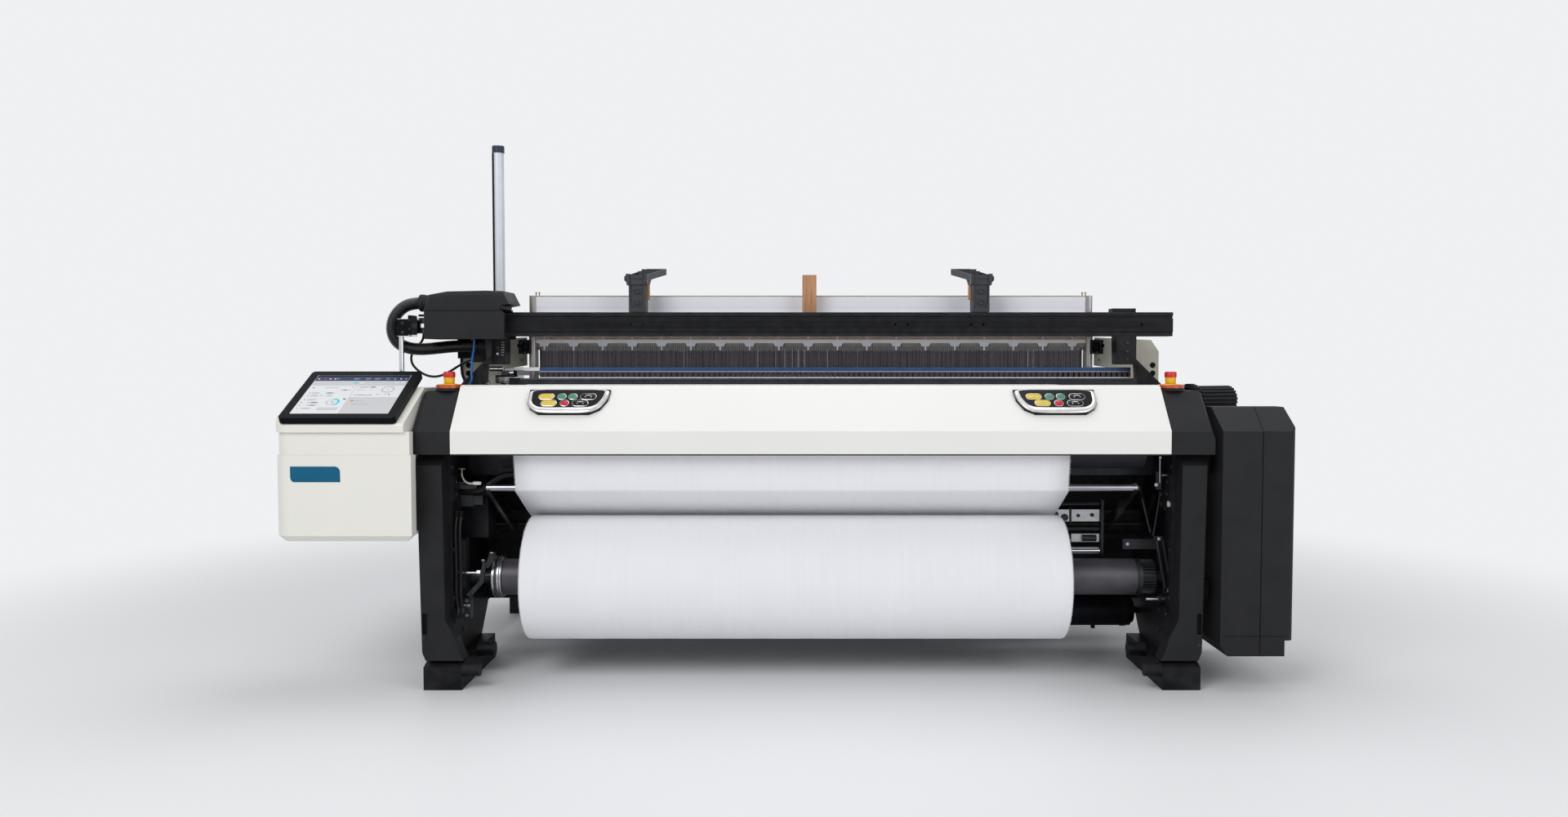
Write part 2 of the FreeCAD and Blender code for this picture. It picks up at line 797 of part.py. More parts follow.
def make_take_up():
    turned("cloth_beam", [("-core_left - 31", "journal_radius"), ("-core_left - 22", "75"),
                          ("-core_left - 14", "68"), ("-core_left - 6", "75"),
                          ("-core_left", "70"), ("core_right", "core_radius"),
                          ("gear_start", "55"), ("shaft_end", "journal_radius")],
           "roll_y", "roll_z", "-shaft_end")
    gear = make_gear("cloth_gear_blank", "gear_teeth", "0", "roll_y", "roll_z")
    bore = rod("cloth_gear_bore", "journal_radius + running_gap", "X", "gear_width + 2",
               "gear_start - 1", "roll_y", "roll_z")
    keep(cut_from("cloth_beam_gear", gear, [bore]), "cloth_beam_gear")
    pinion = make_gear("pinion_blank", "pinion_teeth", "180 + 180 / pinion_teeth", "pinion_y",
                       "roll_z")
    shaft = rod("pinion_shaft", "journal_radius * 0.6", "X",
                "shaft_end - gear_start + 30", "gear_start - 30", "pinion_y", "roll_z")
    fused("cloth_beam_pinion", [pinion, shaft])
    roll = new_body("cloth_roll", "middle", "roll_y", "roll_z")
    # the ends of the turns show as shallow steps
    left = [(f"-roll_left + {1.5 * (i % 2)}", f"core_radius + {30 * i}") for i in range(5)]
    right = [(f"roll_right - {1.5 * (i % 2)}", f"core_radius + {30 * i}") for i in range(5)]
    outline = left + [("-roll_left", "roll_radius - 4"), ("-roll_left + 4", "roll_radius"),
                      ("roll_right - 4", "roll_radius"), ("roll_right", "roll_radius - 4")]
    revolve(roll, outline + right[::-1])
    keep(roll, "cloth_roll")
    turned("take_up_roller", [("-1100", "journal_radius"), ("1180", "take_up_radius"),
                              ("shaft_end", "journal_radius")],
           "take_up_y", "take_up_z", "-shaft_end")
    turned("deflector_roller", [("-deflector_reach", "deflector_journal"),
                                ("deflector_reach", "deflector_radius"),
                                ("shaft_end", "deflector_journal")],
           "deflector_y", "deflector_z", "-shaft_end")
    front = rod("guide_front", "guide_bar_radius", "X", "2 * guide_bar_reach",
                "-guide_bar_reach", "guide_bar_y", "guide_bar_z")
    rear = rod("guide_rear", "rear_bar_radius", "X", "2 * frame_inner", "-frame_inner",
               "rear_bar_y", "rear_bar_z")
    arms = []
    for side, sign in SIDES:
        body = new_body(side + "_guide_arm")
        low, high = from_middle(sign, "guide_bar_reach - 14", "guide_bar_reach")
        slanted = [("guide_bar_y - 14", "guide_bar_z - 6"), ("guide_bar_y + 4", "guide_bar_z - 20"),
                   ("rear_bar_y - 6", "rear_bar_z - 20"), ("rear_bar_y + 18", "rear_bar_z + 4"),
                   ("rear_bar_y + 10", "rear_bar_z + 20"), ("guide_bar_y + 4", "guide_bar_z + 16")]
        pad(body, "YZ", [slanted], low, "14")
        arms.append(body)
    fused("cloth_guide_frame", [front, rear] + arms)


def make_breast_beam():
    """The beam under the cloth's edge, with its round nose and two brackets for the cover."""
    body = new_body("breast_box")
    web = [("-breast_front", "nose_z - breast_floor"),
           ("-breast_back - breast_wall", "nose_z - breast_floor"),
           ("-breast_back - breast_wall", "nose_z - breast_web"),
           ("-breast_back", "nose_z - breast_web"), ("-breast_back", "nose_z - breast_lid"),
           ("-breast_front", "nose_z - breast_lid")]
    pad(body, "YZ", [web], "-frame_inner", "2 * frame_inner")
    section = [("nose_y - 12", "nose_z - 26"), ("-breast_front", "nose_z - 70"),
               ("-breast_front", "nose_z - breast_lid"), ("-502", "nose_z - breast_lid"),
               ("nose_y + 28", "nose_z + 10"), ("nose_y", "nose_z + 10"),
               ("nose_y - 12", "nose_z")]
    pad(body, "YZ", [section], "-nose_reach", "2 * nose_reach")
    top = "nose_z - nose_radius - 1"
    low = "nose_z - 84"
    arm = [(cover_inside(top), top), (cover_inside(low), low), ("-breast_front + 10", low),
           ("-breast_front + 10", "nose_z - 60"), ("nose_y", top)]
    for start in ("-cover_bracket_reach - cover_bracket_width", "cover_bracket_reach"):
        pad(body, "YZ", [arm], start, "cover_bracket_width")
    nose = rod("breast_nose", "nose_radius", "X", "2 * nose_reach", "-nose_reach", "nose_y",
               "nose_z")
    fused("breast_beam", [body, nose])


def cover_inside(height):
    """The Y of the front cover's inner face at a height on its slope."""
    return (f"-cover_front + ({height} - cover_crease) / tan(cover_slope)"
            " + cover_wall / sin(cover_slope)")


def point(y, z):
    return FreeCAD.Vector(0, y, z)


def tangent_run(first, second, first_radius, second_radius):
    """Where a line touches two circles, one after the other; a radius above 0 lies on its left."""
    across = (second[0] - first[0], second[1] - first[1])
    span = math.hypot(*across)
    angle = math.atan2(across[1], across[0]) - math.asin((second_radius - first_radius) / span)
    normal = (-math.sin(angle), math.cos(angle))
    return [(c[0] - r * normal[0], c[1] - r * normal[1])
            for c, r in ((first, first_radius), (second, second_radius))]


def belt_face(circles, side):
    """One face of a belt round circles (y, z, signed radius): lines, and arcs between them."""
    runs = [tangent_run(a[:2], b[:2], a[2] - side, b[2] - side)
            for a, b in zip(circles, circles[1:])]
    edges = []
    for number, (start, end) in enumerate(runs):
        edges.append(Part.LineSegment(point(*start), point(*end)).toShape())
        if number + 1 < len(runs):
            centre = circles[number + 1]
            after = runs[number + 1][0]
            edges.append(arc_between(end, after, centre[:2], centre[2]))
    return edges


def arc_between(start, end, centre, turn):
    """The arc from start to end about a centre, anticlockwise where `turn` is above 0."""
    first = math.atan2(start[1] - centre[1], start[0] - centre[0])
    last = math.atan2(end[1] - centre[1], end[0] - centre[0])
    sweep = (last - first) % (2 * math.pi) if turn > 0 else -((first - last) % (2 * math.pi))
    radius = math.hypot(start[0] - centre[0], start[1] - centre[1])
    half = first + sweep / 2
    middle = (centre[0] + radius * math.cos(half), centre[1] + radius * math.sin(half))
    return Part.Arc(point(*start), point(*middle), point(*end)).toShape()


def belt(circles, thickness, width):
    """A sheet of one thickness that runs round circles, its width along X."""
    one = belt_face(circles, thickness / 2)
    other = belt_face(circles, -thickness / 2)
    ends = [Part.LineSegment(one[-1].lastVertex(True).Point,
                             other[-1].lastVertex(True).Point).toShape(),
            Part.LineSegment(other[0].firstVertex(True).Point,
                             one[0].firstVertex(True).Point).toShape()]
    wire = Part.Wire(Part.__sortEdges__(one + other + ends))
    return Part.Face(wire).extrude(FreeCAD.Vector(width, 0, 0))


def circle_of(y, z, radius, side, thickness="cloth_thickness"):
    """A roller that a sheet passes at the face gap, on the left (1) or right (-1) of its way."""
    clear = value(radius) + value("face_gap") + value(thickness) / 2
    return (value(y), value(z), side * clear)


def make_cloth_sheet():
    circles = [(value("fell_y"), value("fell_z"), 0),
               circle_of("nose_y", "nose_z", "nose_radius", 1),
               circle_of("take_up_y", "take_up_z", "take_up_radius", -1),
               circle_of("deflector_y", "deflector_z", "deflector_radius", 1),
               circle_of("guide_bar_y", "guide_bar_z", "guide_bar_radius", 1),
               circle_of("roll_y", "roll_z", "roll_radius", -1)]
    plain("cloth_sheet", belt(circles, value("cloth_thickness"),
                              value("cloth_left + cloth_right")), "-cloth_left")


# ---- control box and display ----

def box_plan(inset):
    """The control box seen from above: its front lip passes in front of the leg cover."""
    return [(f"-box_left + {inset}", f"-box_front + {inset}"),
            (f"-box_front_right - {inset}", f"-box_front + {inset}"),
            (f"-box_front_right - {inset}", f"-box_step - {inset}"),
            (f"-box_right - {inset}", f"-box_step - {inset}"),
            (f"-box_right - {inset}", f"-box_back - {inset}"),
            (f"-box_left + {inset}", f"-box_back - {inset}")]


def box_stage(name, inset, low, high):
    """One stage of the control box, its two outer corners rounded."""
    body = new_body(name)
    pad(body, "XY", [box_plan(inset)], low, f"{high} - ({low})")
    corners = [edge_at("Z", x=f"-box_left + {inset}", y=f"-box_front + {inset}"),
               edge_at("Z", x=f"-box_left + {inset}", y=f"-box_back - {inset}")]
    round_edges(body, f"box_corner - {inset}", lambda edge: any(test(edge) for test in corners))
    return body


def make_control_box():
    lower = box_stage("box_lower", "0", "box_bottom", "box_band_bottom")
    round_edges(lower, "20", lambda edge: edge.BoundBox.ZMax < value("box_bottom") + 0.1, "Chamfer")
    fused("control_box", [lower, box_stage("box_band", "box_band_depth", "box_band_bottom",
                                           "box_top")])
    lid = new_body("control_box_lid")
    section = [("-lid_slope_front", "box_top"), ("-lid_slope_front", "lid_lip"),
               ("-lid_ridge", "lid_top"), ("-box_back", "lid_top"), ("-box_back", "box_top")]
    pad(lid, "YZ", [section], "-box_left", "box_left - box_right")
    round_edges(lid, "box_corner", edge_at("Z", x="-box_left", y="-lid_slope_front"))
    round_edges(lid, "box_corner", edge_at("Z", x="-box_left", y="-box_back"))
    tops = value("lid_lip")
    round_edges(lid, "10", lambda edge: edge.BoundBox.ZMin > tops - 1
                and edge.BoundBox.Center.x < value("-box_right") - 1
                and edge.BoundBox.XLength < 400)
    keep(lid, "control_box_lid")


def make_display():
    for label in ("display_housing", "display_screen"):
        body = new_body(label, "middle", "-display_front", "display_height")
        body.Placement.Rotation = FreeCAD.Rotation(FreeCAD.Vector(1, 0, 0), 10)
        body.setExpression("Placement.Rotation.Angle", bound("display_tilt"))
        screen = rectangle("-display_left + display_rim", "-display_right - display_rim",
                           "display_rim", "display_depth - display_rim")
        if label == "display_screen":
            pad(body, "XY", [screen], "display_thickness - screen_depth", "screen_depth")
        else:
            outline = rectangle("-display_left", "-display_right", "0", "display_depth")
            pad(body, "XY", [outline], "0", "display_thickness")
            round_edges(body, "14", lambda edge: lies_along(edge, "Z"))
            pocket(body, "XY", [screen], "display_thickness", "screen_depth")
            # a rib under the display rests on the lid's slope
            pad(body, "XY", [rectangle("-1640", "-1510", "100", "230")], "-display_gap",
                "display_gap")
        keep(body, label)


# ---- drive side ----

def make_housing():
    body = new_body("right_housing")
    section = [("-housing_front", "housing_bottom"), ("-housing_front", "housing_top"),
               ("-housing_front + 120", "housing_ridge"), ("-620", "housing_ridge"),
               ("-600", "housing_seat"), ("-housing_back", "housing_seat"),
               ("-housing_back", "housing_bottom")]
    pad(body, "YZ", [section], "housing_left", "housing_right - housing_left")
    # the lower outer edge steps up, and the lower inner edge is cut off
    pocket(body, "XZ", [rectangle("housing_right - 31", "housing_right + 1",
                                  "housing_bottom - 1", "housing_bottom + 54")],
           "housing_front + 1", "housing_front - housing_back + 2")
    pocket(body, "XZ", [[("housing_left - 1", "housing_bottom - 1"),
                         ("housing_left + 26", "housing_bottom - 1"),
                         ("housing_left - 1", "housing_bottom + 40")]],
           "housing_front + 1", "housing_front - housing_back + 2")
    edges = [edge_at("Z", x="housing_right", y="-housing_front"),
             edge_at("Z", x="housing_right", y="-housing_back")]
    round_edges(body, "24", lambda edge: any(test(edge) for test in edges))
    keep(body, "right_housing")


def make_motor():
    """Drive motor with cooling fins, and the toothed wheel for turning the loom by hand."""
    seat = "motor_z - motor_radius - motor_fin"
    turn = FreeCAD.Rotation(FreeCAD.Vector(0, 0, 1), value("motor_angle"))
    motor = new_body("motor_shell", "middle + motor_x", "motor_y", "motor_z")
    motor.Placement.Rotation = turn
    outline = [("0", "0"), ("0", "motor_radius - 12"), ("8", "motor_radius")]
    for fin in range(7):
        start = f"{18 + 16 * fin}"
        outline += [(start, "motor_radius"), (start, "motor_radius + motor_fin"),
                    (f"{start} + 6", "motor_radius + motor_fin"), (f"{start} + 6", "motor_radius")]
    outline += [("motor_length - 12", "motor_radius"), ("motor_length", "motor_radius - 14"),
                ("motor_length", "0")]
    revolve(motor, outline)
    motor.setExpression("Placement.Rotation.Angle", bound("motor_angle"))
    foot = new_body("motor_foot", "middle + motor_x", "motor_y", "housing_seat")
    foot.Placement.Rotation = turn
    foot.setExpression("Placement.Rotation.Angle", bound("motor_angle"))
    pad(foot, "XY", [rectangle("34", "118", "-30", "30")], "0",
        f"{seat} - housing_seat + motor_fin + 8")
    fused("drive_motor", [motor, foot])
    wheel = new_body("handwheel", "middle + motor_x", "motor_y", "motor_z")
    wheel.Placement.Rotation = turn
    wheel.setExpression("Placement.Rotation.Angle", bound("motor_angle"))
    revolve(wheel, [("-face_gap", "0"), ("-face_gap", "wheel_radius"),
                    ("-face_gap - wheel_width", "wheel_radius"),
                    ("-face_gap - wheel_width", "wheel_radius - 14"),
                    ("-face_gap - wheel_width + 6", "wheel_radius - 20"),
                    ("-face_gap - wheel_width + 6", "20"),
                    ("-face_gap - wheel_width - 6", "16"),
                    ("-face_gap - wheel_width - 6", "0")])
    notch = pocket(wheel, "YZ", [rectangle("wheel_radius - 6", "wheel_radius + 2", "-4", "4")],
                   "-face_gap + 1", "wheel_width + 3")
    pattern = wheel.newObject("PartDesign::PolarPattern", "wheel_notches")
    pattern.Originals = [notch]
    pattern.Axis = ([f for f in wheel.Origin.OriginFeatures if f.Role == "X_Axis"][0], [""])
    pattern.Angle = 360
    pattern.setExpression("Occurrences", bound("wheel_teeth"))
    wheel.Tip = pattern
    keep(wheel, "handwheel")


# ---- upper beam, brackets and weft feeder ----

def make_upper_beam():
    body = new_body("beam_profile")
    section = [("-beam_front + 4", "beam_bottom"), ("-beam_front + 4", "beam_bottom + 14"),
               ("-beam_front", "beam_bottom + 17"), ("-beam_front", "beam_top - 23"),
               ("-beam_front + 7", "beam_top - 23"), ("-beam_front + 7", "beam_top - 13"),
               ("-beam_front", "beam_top - 13"), ("-beam_front", "beam_top - 3"),
               ("-beam_front + 3", "beam_top"), ("-beam_back", "beam_top"),
               ("-beam_back", "beam_bottom")]
    pad(body, "YZ", [section], "-feeder_left + feeder_wall",
        "beam_right + feeder_left - feeder_wall")
    holes = [(x, "beam_bottom + 42", "4.5") for x in
             ("-655", "-611", "-377", "-333", "305", "350", "580", "625", "1200")]
    pocket(body, "XZ", holes, "beam_front", "10")
    cap = block("beam_cap", "1097", "1181", "-beam_front + 10", "-beam_back - 10", "beam_top",
                "beam_top + 14")
    # the blue air tube leaves this fitting, which stands on the beam's front face
    fitting = block("air_fitting", "tube_x - tube_fitting / 2", "tube_x + tube_fitting / 2",
                    "-beam_front - tube_fitting", "-beam_front", "beam_bottom + tube_fitting_rise",
                    "beam_bottom + tube_fitting_rise + 24")
    fused("upper_beam", [body, cap, fitting])
    stands = []
    for side, sign in SIDES:
        stand = new_body(side + "_stand")
        outline = [("stand_inner", "beam_bottom"), ("stand_outer", "beam_bottom"),
                   ("stand_outer", "stand_knee + 20"), ("frame_outer", "frame_top + 22"),
                   ("frame_outer", "frame_top"), ("frame_inner - 40", "frame_top"),
                   ("stand_outer + 12", "stand_knee - 60"), ("stand_outer + 8", "stand_knee"),
                   ("stand_inner + 2", "stand_knee")]
        pad(stand, "XZ", [[(f"{sign} * ({x})", z) for x, z in outline]], "beam_back + 4",
            "beam_front - beam_back - 8")
        stands.append(stand)
    group("beam_stands", stands)


def make_beam_brackets():
    made = []
    for side, sign in SIDES:
        body = new_body(side + "_beam_bracket")
        low, high = from_middle(sign, "bracket_inner", "bracket_outer")
        column = [("-beam_front + 6", "beam_top"), ("-beam_back", "beam_top"),
                  ("-beam_back", "beam_top + 100"), ("-250", "beam_top + 134"),
                  ("-250", "beam_top + 174"), ("-beam_front + 20", "beam_top + 140"),
                  ("-beam_front + 6", "beam_top + 128")]
        pad(body, "YZ", [column], low, "bracket_outer - bracket_inner")
        head = rectangle("-beam_front", "-beam_front + 44", "beam_top + 102", "beam_top + 140")
        pad(body, "YZ", [head], f"{low} - 8", "bracket_outer - bracket_inner + 16")
        pocket(body, "XZ", [(f"{sign} * 621", "beam_top + 48", "11"),
                            (f"{sign} * 621", "beam_top + 88", "11")], "beam_front - 6", "9")
        # the arm is a channel, open on its upper side
        pocket(body, "YZ", [[("-390", "beam_top + 122"), ("-258", "beam_top + 150"),
                             ("-258", "beam_top + 180"), ("-390", "beam_top + 164")]],
               f"{high} - 12", "bracket_outer - bracket_inner - 24")
        made.append(body)
    group("beam_brackets", made)
    keep(block("centre_strip", "-32", "20", "-beam_back", "-beam_back + 22", "beam_bottom + 15",
               "1442"), "centre_guide")


def make_feeder():
    body = new_body("feeder_shell")
    outline = [("-feeder_left", "feeder_bottom + 102"), ("-feeder_left + 19", "feeder_top - 15"),
               ("-feeder_left + 84", "feeder_top - 3"), ("-feeder_right - 70", "feeder_top"),
               ("-feeder_right - 5", "feeder_top - 2"), ("-feeder_right + 18", "feeder_top - 48"),
               ("-feeder_right - 14", "feeder_top - 54"), ("-feeder_right - 17", "feeder_top - 65"),
               ("-feeder_right", "feeder_top - 84"), ("-feeder_right", "feeder_bottom"),
               ("-feeder_left", "feeder_bottom")]
    pad(body, "XZ", [outline], "feeder_back", "feeder_front - feeder_back")
    round_edges(body, "18", lambda edge: edge.BoundBox.YMax < value("-feeder_front") + 0.1
                and edge.BoundBox.Center.z > value("feeder_bottom") + 20
                and edge.BoundBox.Center.x < value("-feeder_right") - 20)
    inside = [("-feeder_left + feeder_wall", "feeder_bottom - 1"),
              ("-feeder_left + feeder_wall", "feeder_bottom + 102"),
              ("-feeder_left + 40", "feeder_top - 30"), ("-feeder_right - 40", "feeder_top - 70"),
              ("-feeder_right + 1", "beam_top + 6"), ("-feeder_right + 1", "feeder_bottom - 1")]
    pocket(body, "XZ", [inside], "feeder_front - feeder_wall - 16",
           "feeder_front - feeder_back - 2 * feeder_wall - 16")
    coupling = rod("hose_coupling", "coupling_radius", "X", "coupling_length",
                   "-feeder_left - coupling_length + 8", "hose_y", "feeder_top - 41")
    fused("feeder_cover", [body, coupling])


def make_hose_clamp():
    plate = new_body("clamp_plate")
    pad(plate, "XZ", [rectangle("-1497", "-1457", "clamp_bottom", "clamp_bottom + 64")],
        "-clamp_back", "clamp_depth")
    pad(plate, "XZ", [rectangle("-1457", "-feeder_left", "clamp_bottom + 12",
                                "clamp_bottom + 70")], "-clamp_back", "clamp_bar")
    pocket(plate, "XZ", [rectangle("-1440", "-1400", "clamp_bottom + 34", "clamp_bottom + 48")],
           "-clamp_back + clamp_bar", "clamp_bar")
    post = rod("clamp_post", "clamp_post_radius", "Z", "clamp_bottom - lid_top",
               "clamp_post_x", "clamp_post_y", "lid_top")
    foot = rod("clamp_foot", "clamp_post_radius * 2", "Z", "8", "clamp_post_x", "clamp_post_y",
               "lid_top")
    fused("hose_clamp", [plate, post, foot])


def rounded_path(points):
    """Straight runs joined by tangent arcs, each as large as its two shorter runs allow."""
    corners = [FreeCAD.Vector(*p) for p in points]
    edges, radii, last = [], [], corners[0]
    for before, corner, after in zip(corners, corners[1:], corners[2:]):
        back = (before - corner)
        ahead = (after - corner)
        turn = math.pi - back.getAngle(ahead)
        reach = 0.45 * min(back.Length, ahead.Length)
        radius = reach / math.tan(turn / 2)
        back.normalize()
        ahead.normalize()
        start = corner + back * reach
        end = corner + ahead * reach
        bisector = (back + ahead).normalize()
        centre = corner + bisector * (radius / math.cos(turn / 2))
        middle = centre - bisector * radius
        edges.append(Part.LineSegment(last, start).toShape())
        edges.append(Part.Arc(start, middle, end).toShape())
        radii.append(round(radius))
        last = end
    edges.append(Part.LineSegment(last, corners[-1]).toShape())
    return Part.Wire(edges), radii


def tube_along(label, points, radius):
    """A round cord along a route, its volume set against its section times its length."""
    path, radii = rounded_path(points)
    start = FreeCAD.Vector(*points[0])
    ahead = FreeCAD.Vector(*points[1]) - start
    section = Part.Wire(Part.Circle(start, ahead, radius).toShape())
    made = path.makePipeShell([section], True, False)
    share = made.Volume / (math.pi * radius ** 2 * path.Length)
    print(label, "length", round(path.Length), "radii", radii, "volume share", round(share, 4))
    return plain(label, made)


def hose_route():
    """Centre line of the loop of hose from the feeder's coupling to the left stand."""
    y = value("hose_y")
    start = -value("feeder_left") - value("coupling_length") + 8
    height = value("feeder_top") - 41
    end = -value("stand_outer")
    return [(start, y, height), (-1464, y, height), (-1506, y, 1310), (-1531, y, 1272),
            (-1534, y, 1227), (-1514, y, 1190), (-1477, y, 1172), (-1431, y, 1167),
            (-1377, y, 1171), (-1318, y, 1178), (-1262, y, 1180), (end, y, 1180)]


def make_hose():
    path, radii = rounded_path(hose_route())
    crest, root = value("hose_radius"), value("hose_root_radius")
    bore = value("hose_bore_radius")
    ribs = int(value("hose_ribs"))
    straight = 12
    pitch = (path.Length - 2 * straight) / ribs
    places = [(0, root)]
    for rib in range(ribs):
        begin = straight + rib * pitch
        places += [(begin, root), (begin + 0.25 * pitch, crest), (begin + 0.6 * pitch, crest),
                   (begin + 0.85 * pitch, root)]
    places.append((path.Length, root))

    def ring(distance, radius):
        inside = distance
        for edge in path.OrderedEdges:
            if inside <= edge.Length + 1e-6:
                break
            inside -= edge.Length
        at = edge.getParameterByLength(min(inside, edge.Length))
        circle = Part.Circle(edge.valueAt(at), edge.tangentAt(at), radius)
        circle.XAxis = FreeCAD.Vector(0, 1, 0)
        return Part.Wire(circle.toShape())

    outside = Part.makeLoft([ring(*place) for place in places], True, True)
    steps = 2 * len(path.Edges)
    hollow = Part.makeLoft([ring(path.Length * i / steps, bore) for i in range(steps + 1)],
                           True, True)
    print("hose length", round(path.Length), "radii", radii, "rib pitch", round(pitch, 2))
    plain("corrugated_hose", outside.cut(hollow))


def make_cords():
    back = value("hose_y") + value("hose_radius") + value("cable_radius") + 18
    tube_along("feeder_cable",
               [(-1432, back, 1226), (-1432, back, 1204), (-1454, back, 1180),
                (-1480, back, 1148), (-1478, back, 1114), (-1452, back, 1086),
                (-1417, back, 1068), (-1380, back, 1066), (-1340, back + 6, 1084),
                (-1306, back + 24, 1110), (-1276, back + 62, 1130),
                (-1260, -301, 1138), (-1260, -262, 1138)], value("cable_radius"))
    x = value("tube_x")
    front = -value("beam_front + tube_fitting / 2")
    top = value("beam_bottom + tube_fitting_rise")
    floor = value("frame_top")
    tube_along("air_tube",
               [(x, front, top), (x, front, 1180), (x - 9, front - 2, 1128),
                (x - 11, front - 6, 1088), (x - 6, front - 11, 1056), (x - 22, front - 8, 1034),
                (x - 42, front - 4, 1018), (x - 42, front - 4, floor)],
               value("tube_radius"))


def make_signal_post():
    post = rod("post_tube", "post_radius", "Z", "post_top - 26 - frame_top - 15", "post_x",
               "post_y", "frame_top + 15")
    cap = rod("post_cap", "post_radius + 2", "Z", "26", "post_x", "post_y", "post_top - 26")
    foot = rod("post_foot", "post_radius + 8", "Z", "10", "post_x", "post_y", "frame_top + 15")
    fused("signal_post", [post, cap, foot])


def make_side_plates():
    made = []
    for side, sign in SIDES:
        body = new_body(side + "_side_plate")
        outline = [("foot_outer", "frame_top"), ("foot_outer", "1160"), ("1300", "1204"),
                   ("plate_inner", "1214"), ("plate_inner", "1107"), ("1170", "1094"),
                   ("1170", "frame_top")]
        holes = [(f"{sign} * 1307.5", "1108", "11"), (f"{sign} * 1307.5", "1077", "11")]
        pad(body, "XZ", [[(f"{sign} * ({x})", z) for x, z in outline]] + holes, "256", "6")
        low, high = from_middle(sign, "1150", "foot_outer")
        pad(body, "XY", [rectangle(low, high, "-256", "-190")], "frame_top", "15")
        made.append(body)
    group("side_plates", made)


# ---- shed ----

def make_heald_frame(number, shift):
    """One heald frame: hollow rails and end stays, and its healds between two thin bars."""
    name = f"heald_frame_{number}"
    body = new_body(name, "middle", "0", shift)
    front = f"-heald_front + heald_pitch * {number - 1}"
    back = f"-({front} + heald_thickness)"
    ring = rectangle("-heald_half", "heald_half", "heald_bottom", "heald_top")
    hole = rectangle("-heald_half + heald_stay", "heald_half - heald_stay", "heald_open_bottom",
                     "heald_open_top")
    pad(body, "XZ", [ring, hole], back, "heald_thickness")
    middle = f"{back} + (heald_thickness - heald_bar_thickness) / 2"
    reach = "(heald_half - heald_stay)"
    bars = [rectangle(f"-{reach}", reach, "heald_open_top - heald_bar_gap - heald_bar_height",
                      "heald_open_top - heald_bar_gap"),
            rectangle(f"-{reach}", reach, "heald_open_bottom + heald_bar_gap",
                      "heald_open_bottom + heald_bar_gap + heald_bar_height")]
    pad(body, "XZ", bars, middle, "heald_bar_thickness")
    first = "-heald_half + heald_stay + 30"
    hangers = [rectangle(first, f"{first} + 24", "heald_open_top - heald_bar_gap",
                         "heald_open_top"),
               rectangle(first, f"{first} + 24", "heald_open_bottom",
                         "heald_open_bottom + heald_bar_gap")]
    hanger = pad(body, "XZ", hangers, middle, "heald_bar_thickness")
    repeat(body, hanger, "hanger_count", "2 * (heald_half - heald_stay) - 84")
    start = "-heald_half + heald_stay + 14"
    strip = pad(body, "XZ", [rectangle(start, f"{start} + heald_width",
                                       "heald_open_bottom + heald_bar_gap + heald_bar_height",
                                       "heald_open_top - heald_bar_gap - heald_bar_height")],
                f"{middle} + 1", "1")
    repeat(body, strip, "heald_count", "2 * (heald_half - heald_stay) - 28 - heald_width")
    rods = [(f"{sign} * lift_rod_x", f"{front} + heald_thickness / 2", "lift_rod_radius")
            for sign in (-1, 1)]
    length = "heald_bottom + shed_half - lift_top + 40"
    pad(body, "XY", rods, f"heald_bottom - ({length})", length)
    body.Tip = body.Group[-1]
    keep(body, name)


def make_harness():
    for number in range(1, 5):
        make_heald_frame(number, "-shed_half" if number % 2 else "shed_half")
    units = []
    for side, sign in SIDES:
        body = new_body(side + "_lift_unit")
        low, high = from_middle(sign, "lift_rod_x - 45", "lift_rod_x + 45")
        pad(body, "XY", [rectangle(low, high, "-heald_front - 14",
                                   "-heald_front + 3 * heald_pitch + heald_thickness + 14")],
            "550", "lift_top - 550")
        bores = [(f"{sign} * lift_rod_x",
                  f"-heald_front + heald_pitch * {k} + heald_thickness / 2",
                  "lift_rod_radius + face_gap") for k in range(4)]
        pocket(body, "XY", bores, "lift_top", "lift_top - 550")
        units.append(body)
    group("lift_units", units)
    guides = []
    for side, sign in SIDES:
        body = new_body(side + "_harness_guide")
        low, high = from_middle(sign, "heald_half - 9", "heald_half + 37")
        pad(body, "XY", [rectangle(low, high, "-heald_front - 12", "-262")], "1151", "53")
        for k in range(4):
            slot = rectangle(*from_middle(sign, "heald_half - 10", "heald_half + 0.5"),
                             f"-heald_front + heald_pitch * {k} - 0.5",
                             f"-heald_front + heald_pitch * {k} + heald_thickness + 0.5")
            pocket(body, "XY", [slot], "1204", "53")
        guides.append(body)
    group("harness_guides", guides)


